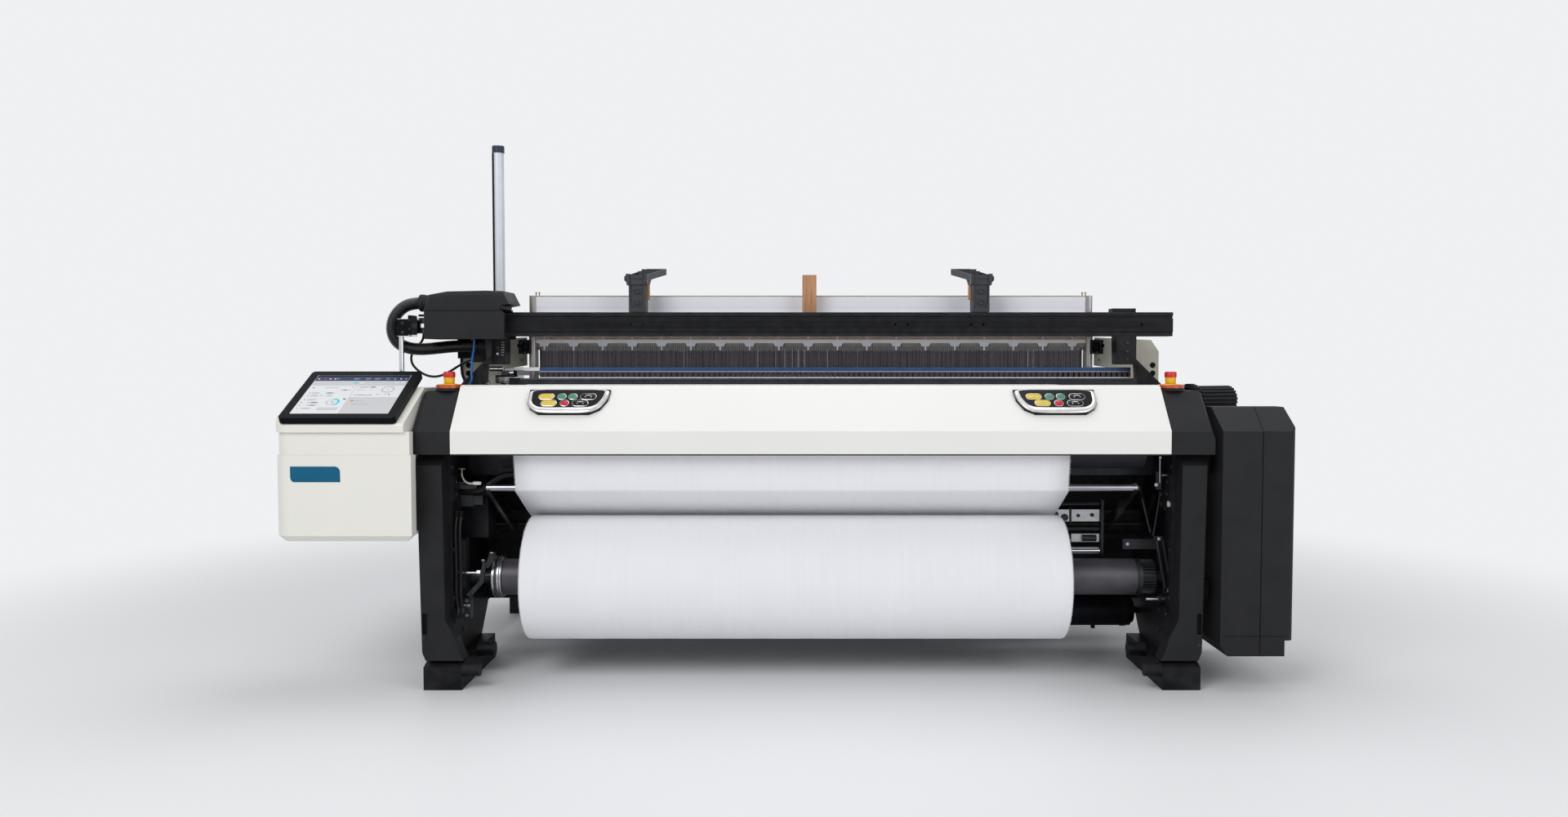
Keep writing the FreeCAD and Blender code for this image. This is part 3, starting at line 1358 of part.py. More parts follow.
def make_sley():
    shaft = rod("sley_shaft", "sley_shaft_radius", "X", "2 * shaft_end", "-shaft_end", "sley_y",
                "sley_z")
    body = new_body("sley_beam")
    seat = "sley_y - 15"
    channel = [(f"{seat} - 12", "reed_bottom - 30"), ("sley_y + 22", "reed_bottom - 30"),
               ("sley_y + 22", "reed_bottom + 12"), (f"{seat} + reed_thickness", "reed_bottom + 12"),
               (f"{seat} + reed_thickness", "reed_bottom"), (seat, "reed_bottom"),
               (seat, "reed_bottom + 12"), (f"{seat} - 12", "reed_bottom + 12")]
    pad(body, "YZ", [channel], "-reed_left - 110", "reed_left + reed_right + 110")
    sword = [("sley_y - 26", "sley_z - 30"), ("sley_y + 26", "sley_z - 30"),
             ("sley_y + 30", "sley_z + 30"), ("sley_y + 18", "reed_bottom - 30"),
             ("sley_y - 22", "reed_bottom - 30"), ("sley_y - 30", "sley_z + 30")]
    arm = pad(body, "YZ", [sword], "-reed_left + 60", "22")
    repeat(body, arm, "6", "reed_left + reed_right - 142")
    nozzle = rod("weft_nozzle", "nozzle_radius", "X", "reed_left + 138 - cloth_left - nozzle_gap",
                 "-reed_left - 138", "sley_y - 24", "fell_z + 6")
    holder = block("nozzle_holder", "-reed_left - 108", "-reed_left - 68", "sley_y - 36",
                   "sley_y - 4", "reed_bottom - 30", "fell_z + 22")
    fused("sley", [shaft, body, nozzle, holder])
    reed = new_body("reed")
    back = f"-({seat} + reed_thickness)"
    pad(reed, "XZ", [rectangle("-reed_left", "reed_right", "reed_bottom", "reed_top")], back,
        "reed_thickness")
    first = "-reed_left + 8"
    gap = pocket(reed, "XZ", [rectangle(first, f"{first} + 6", "reed_bottom + 24",
                                        "reed_top - reed_cap - 6")],
                 f"{back} + reed_thickness", "reed_thickness")
    repeat(reed, gap, "reed_gaps", "reed_left + reed_right - 22")
    keep(reed, "reed")


def make_temple_bar():
    low = "fell_z + cloth_thickness / 2 + face_gap"
    bar = new_body("temple_rail")
    section = [("-500", low), ("-484", low), ("-484", f"{low} + 22"), ("-491", f"{low} + 22"),
               ("-494", f"{low} + 16"), ("-500", f"{low} + 12")]
    pad(bar, "YZ", [section], "-cloth_left - 40", "cloth_left + 40 + reed_right")
    legs = [block("temple_leg_left", "-cloth_left - 40", "-cloth_left - 4", "-500", "-486",
                  "nose_z - breast_lid", f"{low} + 4"),
            block("temple_leg_right", "reed_right - 40", "reed_right", "-500", "-486",
                  "nose_z - breast_lid", f"{low} + 4")]
    fused("temple_bar", [bar] + legs)


# ---- warp side ----

def make_warp():
    turned("warp_beam",
           [("-flange_left - 60", "journal_radius * 1.5"), ("-flange_left - 30", "70"),
            ("-flange_left - flange_thickness", "120"), ("-flange_left", "flange_radius"),
            ("flange_right", "barrel_radius"),
            ("flange_right + flange_thickness", "flange_radius"), ("flange_right + 30", "120"),
            ("flange_right + 60", "70"), ("shaft_end", "journal_radius * 1.5")],
           "warp_beam_y", "warp_beam_z", "-shaft_end")
    yarn = new_body("warp_yarn", "middle", "warp_beam_y", "warp_beam_z")
    revolve(yarn, rectangle("-flange_left", "flange_right", "barrel_radius", "yarn_radius"))
    keep(yarn, "warp_yarn")
    turned("whip_roll", [("-whip_reach", "20"), ("whip_reach", "whip_radius"),
                         ("whip_reach + 58", "20")],
           "whip_y", "whip_z", "-whip_reach - 58")
    brackets = []
    for side, sign in SIDES:
        body = new_body(side + "_whip_bracket")
        low, high = from_middle(sign, "frame_inner - 30", "frame_inner")
        plate = [("whip_y - 90", "whip_z - 120"), ("whip_y + 50", "whip_z - 120"),
                 ("whip_y + 50", "whip_z + 20"), ("whip_y + 24", "whip_z + 42"),
                 ("whip_y - 24", "whip_z + 42"), ("whip_y - 90", "whip_z - 20")]
        pad(body, "YZ", [plate], low, "30")
        pocket(body, "YZ", [("whip_y", "whip_z", "20 + running_gap")], high, "30")
        brackets.append(body)
    group("whip_roll_brackets", brackets)
    # the sheet of warp threads leaves the beam at its back and passes over the whip roll
    circles = [circle_of("warp_beam_y", "warp_beam_z", "yarn_radius", 1, "warp_thickness"),
               circle_of("whip_y", "whip_z", "whip_radius", 1, "warp_thickness"),
               (value("-262"), value("fell_z"), 0)]
    plain("warp_sheet", belt(circles, value("warp_thickness"),
                             value("warp_left + warp_right")), "-warp_left")


def make_drop_wire_unit():
    """Warp stop motion: contact bars over the warp sheet, held by a bracket at each end."""
    bars = [block(f"contact_bar_{i}", "-frame_inner + 20", "frame_inner - 20",
                  f"{150 + 45 * i}", f"{156 + 45 * i}", "1062", "1082") for i in range(4)]
    ends = []
    for side, sign in SIDES:
        body = new_body(side + "_drop_wire_end")
        low, high = from_middle(sign, "frame_inner - 20", "frame_inner + 30")
        plate = [("130", "frame_top"), ("320", "frame_top"), ("310", "1096"), ("140", "1096")]
        pad(body, "YZ", [plate], low, "50")
        ends.append(body)
    fused("drop_wire_unit", bars + ends)


# ---- stop buttons and key panels ----

def make_stop_buttons():
    bases = []
    for side, x in (("left", "stop_left_x"), ("right", "stop_right_x")):
        ring = new_body(side + "_stop_base", f"middle + {x}", "stop_y", "end_cover_top")
        pad(ring, "XY", [("0", "0", "stop_ring_radius - 4")], "0", "stop_ring_height / 2")
        pad(ring, "XY", [("0", "0", "stop_ring_radius")], "stop_ring_height / 2",
            "stop_ring_height / 2")
        pocket(ring, "XY", [("0", "0", "stop_stem_radius + face_gap")], "stop_ring_height",
               "stop_ring_height - 2")
        bases.append(ring)
        button = new_body(side + "_stop_button", f"middle + {x}", "stop_y", "end_cover_top")
        pad(button, "XY", [("0", "0", "stop_stem_radius")], "stop_travel + 3",
            "stop_ring_height + 24 - stop_travel")
        pad(button, "XY", [("0", "0", "stop_head_radius")], "stop_ring_height + 27", "19")
        top = value("stop_ring_height + 46")
        round_edges(button, "4", lambda edge: edge.BoundBox.ZMin > top - 0.1, "Chamfer")
        keep(button, side + "_stop_button")
    group("stop_button_bases", bases)


# each key: its middle from the panel's left edge, its height on the slope and its half length
KEYS = {"left": (("62", "key_high", "key_long"), ("115", "key_high", "key_short"),
                 ("153", "key_high", "key_short"), ("206", "key_high", "key_long"),
                 ("73", "key_low", "key_long"), ("127", "key_low", "key_short"),
                 ("181", "key_low", "key_long")),
        "right": (("67", "key_high", "key_long"), ("121", "key_high", "key_short"),
                  ("159", "key_high", "key_short"), ("215", "key_high", "key_long"),
                  ("94", "key_low", "key_long"), ("149", "key_low", "key_short"),
                  ("205", "key_low", "key_long"))}


def make_key_panels():
    for side, sign in SIDES:
        body = new_body(side + "_key_panel", "middle", "-cover_front", "cover_crease")
        body.Placement.Rotation = FreeCAD.Rotation(FreeCAD.Vector(1, 0, 0), 10)
        body.setExpression("Placement.Rotation.Angle", bound("cover_slope"))
        start = "-panel_far" if sign < 0 else "panel_near"
        # the corner towards the middle of the loom is cut off in a wide sweep
        corners = [("panel_far", "panel_high"), ("panel_far + 2", "panel_low + 46"),
                   ("panel_far - 10", "panel_low + 22"), ("panel_far - 40", "panel_low"),
                   ("panel_near + 66", "panel_low"), ("panel_near + 30", "panel_low + 20"),
                   ("panel_near + 6", "panel_low + 62"), ("panel_near", "panel_high")]
        outline = [(f"{sign} * ({x})", y) for x, y in corners]
        pad(body, "XY", [outline], "0", "panel_height")
        upper = value("panel_height")
        round_edges(body, "4", lambda edge: edge.BoundBox.ZMin > upper - 0.1)
        for x, y, half in KEYS[side]:
            left, right = f"{start} + {x} - {half}", f"{start} + {x} + {half}"
            low, high = f"{y} - key_half", f"{y} + key_half"
            key = [(left, y), (f"{left} + key_corner", low), (f"{right} - key_corner", low),
                   (right, y), (f"{right} - key_corner", high), (f"{left} + key_corner", high)]
            pad(body, "XY", [key], "panel_height", "key_rise")
        keep(body, side + "_key_panel")


for side_name, side_sign in SIDES:
    make_side_frame(side_name, side_sign)
    make_leg_cover(side_name, side_sign)
make_feet()
make_cross_beams()
make_air_tank()
make_covers()
make_take_up()
make_breast_beam()
make_cloth_sheet()
make_control_box()
make_display()
make_housing()
make_motor()
make_upper_beam()
make_beam_brackets()
make_feeder()
make_hose_clamp()
make_hose()
make_cords()
make_signal_post()
make_side_plates()
make_harness()
make_sley()
make_temple_bar()
make_warp()
make_drop_wire_unit()
make_stop_buttons()
make_key_panels()

doc.recompute()
faults = [made.Label for made in doc.Objects if {"Invalid", "Error"} & set(made.State)]
faults += [made.Label for made in nodes if made.Shape.isNull() or not made.Shape.isValid()]
if faults:
    raise ValueError("these objects failed: " + ", ".join(faults))

os.makedirs("parts", exist_ok=True)
for made in nodes:
    made.Shape.exportStep(f"parts/{made.Label}.step")
print(len(nodes), "sub-parts written")
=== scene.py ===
import json
import math
import random

import bmesh
import bpy
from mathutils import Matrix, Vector


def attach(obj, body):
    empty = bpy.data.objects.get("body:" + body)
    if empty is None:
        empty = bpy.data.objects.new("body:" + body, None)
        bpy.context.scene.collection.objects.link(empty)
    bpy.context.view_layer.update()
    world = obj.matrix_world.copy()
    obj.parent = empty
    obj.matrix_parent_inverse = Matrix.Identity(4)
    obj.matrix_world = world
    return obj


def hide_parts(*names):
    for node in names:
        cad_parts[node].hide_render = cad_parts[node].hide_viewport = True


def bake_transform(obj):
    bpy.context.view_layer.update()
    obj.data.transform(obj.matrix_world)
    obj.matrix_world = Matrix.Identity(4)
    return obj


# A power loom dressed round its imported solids. Sizes here are in millimetres: X from the middle
# plane of the weaving width, Y from the weaver's side to the back and Z up from the floor.

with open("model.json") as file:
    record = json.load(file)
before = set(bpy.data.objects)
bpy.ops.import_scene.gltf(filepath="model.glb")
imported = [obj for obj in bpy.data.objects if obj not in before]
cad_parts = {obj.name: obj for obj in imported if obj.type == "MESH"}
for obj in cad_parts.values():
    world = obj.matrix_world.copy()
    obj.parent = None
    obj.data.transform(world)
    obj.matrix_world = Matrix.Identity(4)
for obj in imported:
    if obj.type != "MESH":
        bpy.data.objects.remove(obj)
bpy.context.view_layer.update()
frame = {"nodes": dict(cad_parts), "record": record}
nodes = frame["nodes"]
MM = 0.001
MIDDLE = 83.5
BACKDROP = (0.86, 0.875, 0.89, 1)
SHED = (-35, 35, -35, 35)  # how far each heald frame stands above its middle, from the front


def at(x, y, z):
    """A point of the machine, in metres, in the frame that the solids share."""
    return Vector(((x + MIDDLE) * MM, y * MM, z * MM))


def new_object(name, data):
    obj = bpy.data.objects.new(name, data)
    bpy.context.scene.collection.objects.link(obj)
    return obj


# ---- camera, as fitted to the photo ----

PICTURE_WIDTH, SHIFT, LOOKING_DOWN = 1920, -18, 2.58
camera = new_object("camera", bpy.data.cameras.new("camera"))
camera.location = (0.038, -4.76, 1.145)
camera.rotation_euler = (math.radians(90 - LOOKING_DOWN), 0, 0)
camera.data.sensor_width = 36
camera.data.lens = 27
camera.data.shift_x = SHIFT / PICTURE_WIDTH
bpy.context.scene.camera = camera
bpy.context.scene.view_settings.view_transform = "Standard"


# ---- materials ----

def fill(tree, made, inputs):
    """Sets a node's inputs, each to a value or to another node's output."""
    for name, value in inputs.items():
        if isinstance(value, bpy.types.NodeSocket):
            tree.links.new(value, made.inputs[name])
        else:
            made.inputs[name].default_value = value


def node(tree, kind, inputs=(), **settings):
    made = tree.nodes.new("ShaderNode" + kind)
    for name, setting in settings.items():
        setattr(made, name, setting)
    fill(tree, made, dict(inputs))
    return made


def maths(tree, operation, *values, **settings):
    return node(tree, "Math", enumerate(values), operation=operation, **settings).outputs[0]


def mixed(tree, share, first, second):
    """A colour between two, by a share from 0 to 1."""
    return node(tree, "Mix", {0: share, 6: first, 7: second}, data_type="RGBA").outputs[2]


def texture(tree, kind, spot, scale, bands="X", **inputs):
    """A texture over a set of coordinates; bands is the direction of a wave."""
    made = node(tree, kind, dict(inputs, Scale=scale, Vector=spot))
    if kind == "TexWave":
        made.bands_direction = bands
    return made.outputs["Fac"]


def shade(colour, factor):
    return tuple(min(1, c * factor) for c in colour) + (1,)


def two_tones(tree, value, dark, light, low=0.3, high=0.7):
    """A ramp from a dark colour to a light one, between two values."""
    ramp = node(tree, "ValToRGB", {"Fac": value})
    for stop, place, colour in zip(ramp.color_ramp.elements, (low, high), (dark, light)):
        stop.position = place
        stop.color = colour
    return ramp.outputs["Color"]


def add_bump(tree, height, depth, strength=0.6):
    relief = node(tree, "Bump", {"Strength": strength, "Distance": depth, "Height": height})
    fill(tree, tree.nodes["Principled BSDF"], {"Normal": relief.outputs["Normal"]})


def object_space(tree):
    return node(tree, "TexCoord").outputs["Object"]


def surface(name):
    """A new material, its nodes, its shader and the object's own coordinates."""
    made = bpy.data.materials.new(name)
    made.use_nodes = True
    tree = made.node_tree
    return made, tree, tree.nodes["Principled BSDF"], object_space(tree)


def material(name, colour, rough, mottle, spread, grain=0, depth=0, spec=0.5, rough_spread=0.06,
             metal=0.0, coat=0.0, edge_wear_and_highlight=None):
    """A painted, moulded or metal surface; mottle and grain are noise sizes per metre."""
    made, tree, shader, spot = surface(name)
    noise = texture(tree, "TexNoise", spot, mottle, Detail=5)
    out = two_tones(tree, noise, shade(colour, 1 - spread), shade(colour, 1 + spread))
    # a lighter colour on sharp convex edges: partly rubbed paint, partly a painted highlight along
    # the edges
    if edge_wear_and_highlight:
        edge = node(tree, "NewGeometry").outputs["Pointiness"]
        worn_and_lit_edge = node(tree, "MapRange", {"Value": edge, "From Min": 0.52, "From Max": 0.62})
        out = mixed(tree, maths(tree, "MULTIPLY", worn_and_lit_edge.outputs["Result"], noise), out, edge_wear_and_highlight)
    span = node(tree, "MapRange", {"Value": noise, "To Min": max(0.03, rough - rough_spread),
                                   "To Max": min(1, rough + rough_spread)})
    fill(tree, shader, {"Metallic": metal, "Coat Weight": coat, "Coat Roughness": 0.12,
                        "Specular IOR Level": spec, "Base Color": out,
                        "Roughness": span.outputs["Result"]})
    if grain:
        add_bump(tree, texture(tree, "TexNoise", spot, grain, Detail=3), depth * MM)
    return made


def woven(name, colour, across, along, depth):
    """White cloth: fine warp lines along it, weft lines across it and a soft unevenness."""
    made, tree, shader, spot = surface(name)
    streak = node(tree, "Mapping", {"Vector": spot, "Scale": (90, 3, 3)}).outputs["Vector"]
    tone = maths(tree, "ADD", texture(tree, "TexNoise", spot, 5, Detail=6),
                 texture(tree, "TexNoise", streak, 1, Detail=4))
    out = two_tones(tree, maths(tree, "MULTIPLY", tone, 0.5), shade(colour, 0.965),
                    shade(colour, 1.01))
    fill(tree, shader, {"Roughness": 0.82, "Sheen Weight": 0.25, "Base Color": out})
    lines = [texture(tree, "TexWave", spot, size, bands, Distortion=0.6, Detail=1)
             for bands, size in (("X", across), ("Z", along))]
    add_bump(tree, maths(tree, "MULTIPLY", *lines), depth, 0.5)
    return made


def wooden(name):
    """Light wood with its grain along Z."""
    made, tree, shader, spot = surface(name)
    stretch = node(tree, "Mapping", {"Vector": spot, "Scale": (1, 1, 0.06)}).outputs["Vector"]
    grain = texture(tree, "TexNoise", stretch, 160, Detail=6, Distortion=0.8)
    out = two_tones(tree, grain, (0.30, 0.135, 0.055, 1), (0.56, 0.30, 0.155, 1), 0.25, 0.75)
    fill(tree, shader, {"Roughness": 0.55, "Base Color": out})
    add_bump(tree, grain, 0.0003)
    return made


def thready(name, colour, size):
    """A flat field of threads that run side by side along the machine."""
    made, tree, shader, spot = surface(name)
    wave = texture(tree, "TexWave", spot, size, Distortion=0.4, Detail=1)
    # the dark bands between the threads are painted shade
    out = two_tones(tree, wave, shade(colour, 0.55), shade(colour, 1), 0.1, 0.6)
    fill(tree, shader, {"Roughness": 0.75, "Sheen Weight": 0.2, "Base Color": out})
    add_bump(tree, wave, 0.0006)
    return made


def seen_directly(tree):
    """1 for what the camera sees straight, in a mirror or through glass, and 0 for light."""
    path = node(tree, "LightPath").outputs
    seen = path["Is Camera Ray"]
    for name in ("Is Glossy Ray", "Is Transmission Ray"):
        seen = maths(tree, "ADD", seen, path[name], use_clamp=True)
    return seen


def studio_floor(colour):
    """A pale floor that turns into the backdrop's own colour away from the machine."""
    made = material("pale_floor", colour, 0.6, 0.8, 0.008)
    tree = made.node_tree
    length = node(tree, "VectorMath", {0: object_space(tree)}, operation="LENGTH")
    far = node(tree, "MapRange", {"Value": length.outputs["Value"], "From Min": 2.0,
                                  "From Max": 4.6}, interpolation_type="SMOOTHSTEP")
    share = maths(tree, "MULTIPLY", far.outputs["Result"], seen_directly(tree))
    light = node(tree, "Emission", {"Color": BACKDROP})
    mix = node(tree, "MixShader", {"Fac": share, 1: tree.nodes["Principled BSDF"].outputs["BSDF"],
                                   2: light.outputs["Emission"]})
    fill(tree, tree.nodes["Material Output"], {"Surface": mix.outputs["Shader"]})
    return made


def heald_look(name, rise):
    """Pale rails, grey end stays and dark healds between them, on a frame raised by rise."""
    made = material(name, (0.5, 0.5, 0.5), 0.45, 25, 0.05, 900, 0.1, 0.3)
    tree = made.node_tree
    axes = node(tree, "SeparateXYZ", {0: object_space(tree)}).outputs
    off_middle = maths(tree, "ABSOLUTE", maths(tree, "SUBTRACT", axes["X"], MIDDLE * MM))
    out = (0.034, 0.030, 0.035, 1)
    for test, value, level, colour in (
            ("GREATER_THAN", axes["Z"], 1200.5 + rise, (0.13, 0.115, 0.095, 1)),
            ("GREATER_THAN", axes["Z"], 1238.5 + rise, (0.86, 0.87, 0.91, 1)),
            ("LESS_THAN", axes["Z"], 840.5 + rise, (0.60, 0.62, 0.66, 1)),
            ("GREATER_THAN", off_middle, 1033.5, (0.27, 0.25, 0.235, 1))):
        out = mixed(tree, maths(tree, test, value, level * MM), out, colour)
    fill(tree, tree.nodes["Principled BSDF"], {"Base Color": out})
    return made


# look: the material's name, colour, roughness, size and strength of the mottle, size and depth
# (mm) of the grain, specular level, spread of the roughness, metal
PAINTS = {
    "frame_paint": ("black_powder_coat", (0.0058, 0.0062, 0.0078), 0.44, 30, 0.25, 900, 0.4, 0.09,
                    0.1),
    "cover_white": ("white_satin_paint", (0.8, 0.79, 0.765), 0.4, 3, 0.012, 500, 0.15, 0.35, 0.05),
    "cover_black": ("charcoal_moulding", (0.0135, 0.0138, 0.0152), 0.52, 12, 0.18, 1400, 0.6,
                    0.18, 0.08),
    "box_white": ("cream_gloss_paint", (0.8, 0.785, 0.725), 0.3, 3, 0.012, 400, 0.15, 0.4, 0.05),
    "steel": ("turned_steel", (0.36, 0.365, 0.38), 0.32, 40, 0.15, 700, 0.2, 0.5, 0.1, 1),
    "chrome": ("chromed_bar", (0.6, 0.61, 0.64), 0.16, 25, 0.05, 0, 0, 0.5, 0.05, 1),
    "rim": ("satin_rim", (0.55, 0.54, 0.535), 0.26, 30, 0.06, 0, 0, 0.5, 0.06, 0.9),
    "dark_steel": ("oiled_dark_steel", (0.028, 0.029, 0.033), 0.36, 35, 0.25, 600, 0.3, 0.25, 0.1,
                   0.4),
    "cap_blue": ("post_cap_blue", (0.016, 0.026, 0.06), 0.4, 30, 0.1, 700, 0.2, 0.3),
    "core_grey": ("beam_core", (0.075, 0.07, 0.083), 0.42, 20, 0.12, 600, 0.2, 0.3, 0.08, 0.3),
    "guide_satin": ("guide_bar", (0.3, 0.29, 0.315), 0.24, 25, 0.06, 0, 0, 0.5, 0.05, 1),
    "bracket_grey": ("bracket_moulding", (0.03, 0.032, 0.038), 0.45, 30, 0.15, 900, 0.3, 0.3,
                     0.08),
    "roller_rubber": ("grey_roller_rubber", (0.03, 0.031, 0.037), 0.5, 20, 0.15, 800, 0.4, 0.3,
                      0.1),
    "aluminium": ("drawn_aluminium", (0.6, 0.63, 0.68), 0.42, 20, 0.05, 900, 0.1, 0.5, 0.06, 0.2),
    "screen": ("lit_screen", (0.73, 0.74, 0.755), 0.4, 4, 0.01, 0, 0, 0.2, 0.02),
    "display_black": ("gloss_black_bezel", (0.0035, 0.0045, 0.0055), 0.42, 10, 0.1, 0, 0, 0.06,
                      0.03),
    "reed_blue": ("blue_reed_rail", (0.032, 0.076, 0.205), 0.38, 20, 0.1, 600, 0.2, 0.25),
    "reed_edge": ("reed_edge", (0.46, 0.42, 0.46), 0.45, 60, 0.1, 0, 0, 0.25),
    "reed_dark": ("reed_dents", (0.06, 0.053, 0.062), 0.5, 60, 0.2, 300, 0.3, 0.2),
    "beige": ("beige_plate", (0.6, 0.575, 0.49), 0.5, 30, 0.05, 500, 0.2, 0.3, 0.08),
    "hose": ("black_hose_plastic", (0.008, 0.008, 0.009), 0.27, 40, 0.2),
    "cable": ("black_cable_sheath", (0.008, 0.008, 0.009), 0.4, 60, 0.2, 0, 0, 0.22),
    "air_blue": ("blue_air_tube", (0.012, 0.12, 0.42), 0.28, 60, 0.1, 0, 0, 0.35),
    "stop_red": ("push_button_red", (0.55, 0.012, 0.02), 0.35, 60, 0.1, 0, 0, 0.35),
    "stop_ring": ("collar_orange", (0.5, 0.075, 0.012), 0.28, 60, 0.15, 0, 0, 0.35),
    "keypad": ("key_sheet_black", (0.007, 0.0075, 0.009), 0.26, 30, 0.1, 0, 0, 0.18),
    "yellow": ("button_yellow", (0.8, 0.47, 0.012), 0.4, 60, 0.08, 0, 0, 0.3),
    "key_yellow": ("key_yellow", (0.7, 0.52, 0.07), 0.35, 60, 0.08, 0, 0, 0.3),
    "key_green": ("key_green", (0.07, 0.24, 0.15), 0.35, 60, 0.08, 0, 0, 0.3),
    "key_red": ("key_red", (0.5, 0.02, 0.045), 0.35, 60, 0.08, 0, 0, 0.3),
    "badge_blue": ("badge_blue", (0, 0.1, 0.2), 0.35, 20, 0.06, 0, 0, 0.25),
    "rail_white": ("white_rail_lacquer", (0.86, 0.87, 0.9), 0.4, 20, 0.05, 0, 0, 0.3),
    "rail_brown": ("brown_rail_edge", (0.36, 0.28, 0.21), 0.5, 60, 0.2, 0, 0, 0.25),
    "beam_end": ("grey_end_stay", (0.3, 0.285, 0.27), 0.3, 30, 0.1, 0, 0, 0.5, 0.06, 0.7),
    "hanger_back": ("hanger_strip", (0.34, 0.31, 0.26), 0.5, 40, 0.15, 0, 0, 0.2),
    "heald_wire": ("heald_wire", (0.084, 0.075, 0.086), 0.4, 300, 0.45, 0, 0, 0.3, 0.06, 0.3),
    "ui_navy": ("ui_navy", (0.01, 0.026, 0.085), 0.3, 8, 0.05, 0, 0, 0.2),
    "ui_cyan": ("ui_cyan", (0, 0.56, 0.76), 0.3, 8, 0.03, 0, 0, 0.2),
    "ui_grey": ("ui_grey", (0.4, 0.415, 0.45), 0.3, 8, 0.03, 0, 0, 0.2),
    "ui_pale": ("ui_pale", (0.56, 0.565, 0.585), 0.4, 8, 0.01, 0, 0, 0.2),
    "ui_yellow": ("ui_yellow", (0.8, 0.55, 0.06), 0.3, 8, 0.03, 0, 0, 0.2),
    "ui_red": ("ui_red", (0.7, 0.06, 0.06), 0.3, 8, 0.03, 0, 0, 0.2),
}
# the black frame paint's lighter edges are partly wear and partly a painted highlight
EXTRAS = {"frame_paint": {"edge_wear_and_highlight": (0.03, 0.03, 0.033, 1)}, "stop_red": {"coat": 0.2},
          "stop_ring": {"coat": 0.3}}
LOOKS = {look: material(*row, **EXTRAS.get(look, {})) for look, row in PAINTS.items()}
LOOKS["cloth"] = woven("white_woven_cloth", (0.84, 0.84, 0.875), 190, 170, 0.0005)
LOOKS["yarn"] = thready("white_warp_threads", (0.78, 0.77, 0.76), 110)
LOOKS["wood"] = wooden("light_beech")
LOOKS["floor"] = studio_floor((0.80, 0.81, 0.82))
for number, rise in enumerate(SHED, 1):
    LOOKS[f"heald_frame_{number}"] = heald_look(f"heald_frame_{number}", rise)


def paint(obj, look):
    """Gives an object one material, on the object itself and not on its mesh."""
    if not obj.material_slots:
        obj.data.materials.append(None)
    for place in obj.material_slots:
        place.link = "OBJECT"
        place.material = LOOKS[look]


OWN_LOOKS = {"reed": "reed_dark", "cloth_guide_frame": "guide_satin"}
for row in frame["record"]["subparts"]:
    name = row["node"]
    paint(nodes[name], OWN_LOOKS.get(name, name if name in LOOKS else row["material_slot"]))


# ---- building pieces ----

def circle(x, y, radius, count):
    return [(x + radius * math.cos(2 * math.pi * i / count),
             y + radius * math.sin(2 * math.pi * i / count)) for i in range(count)]


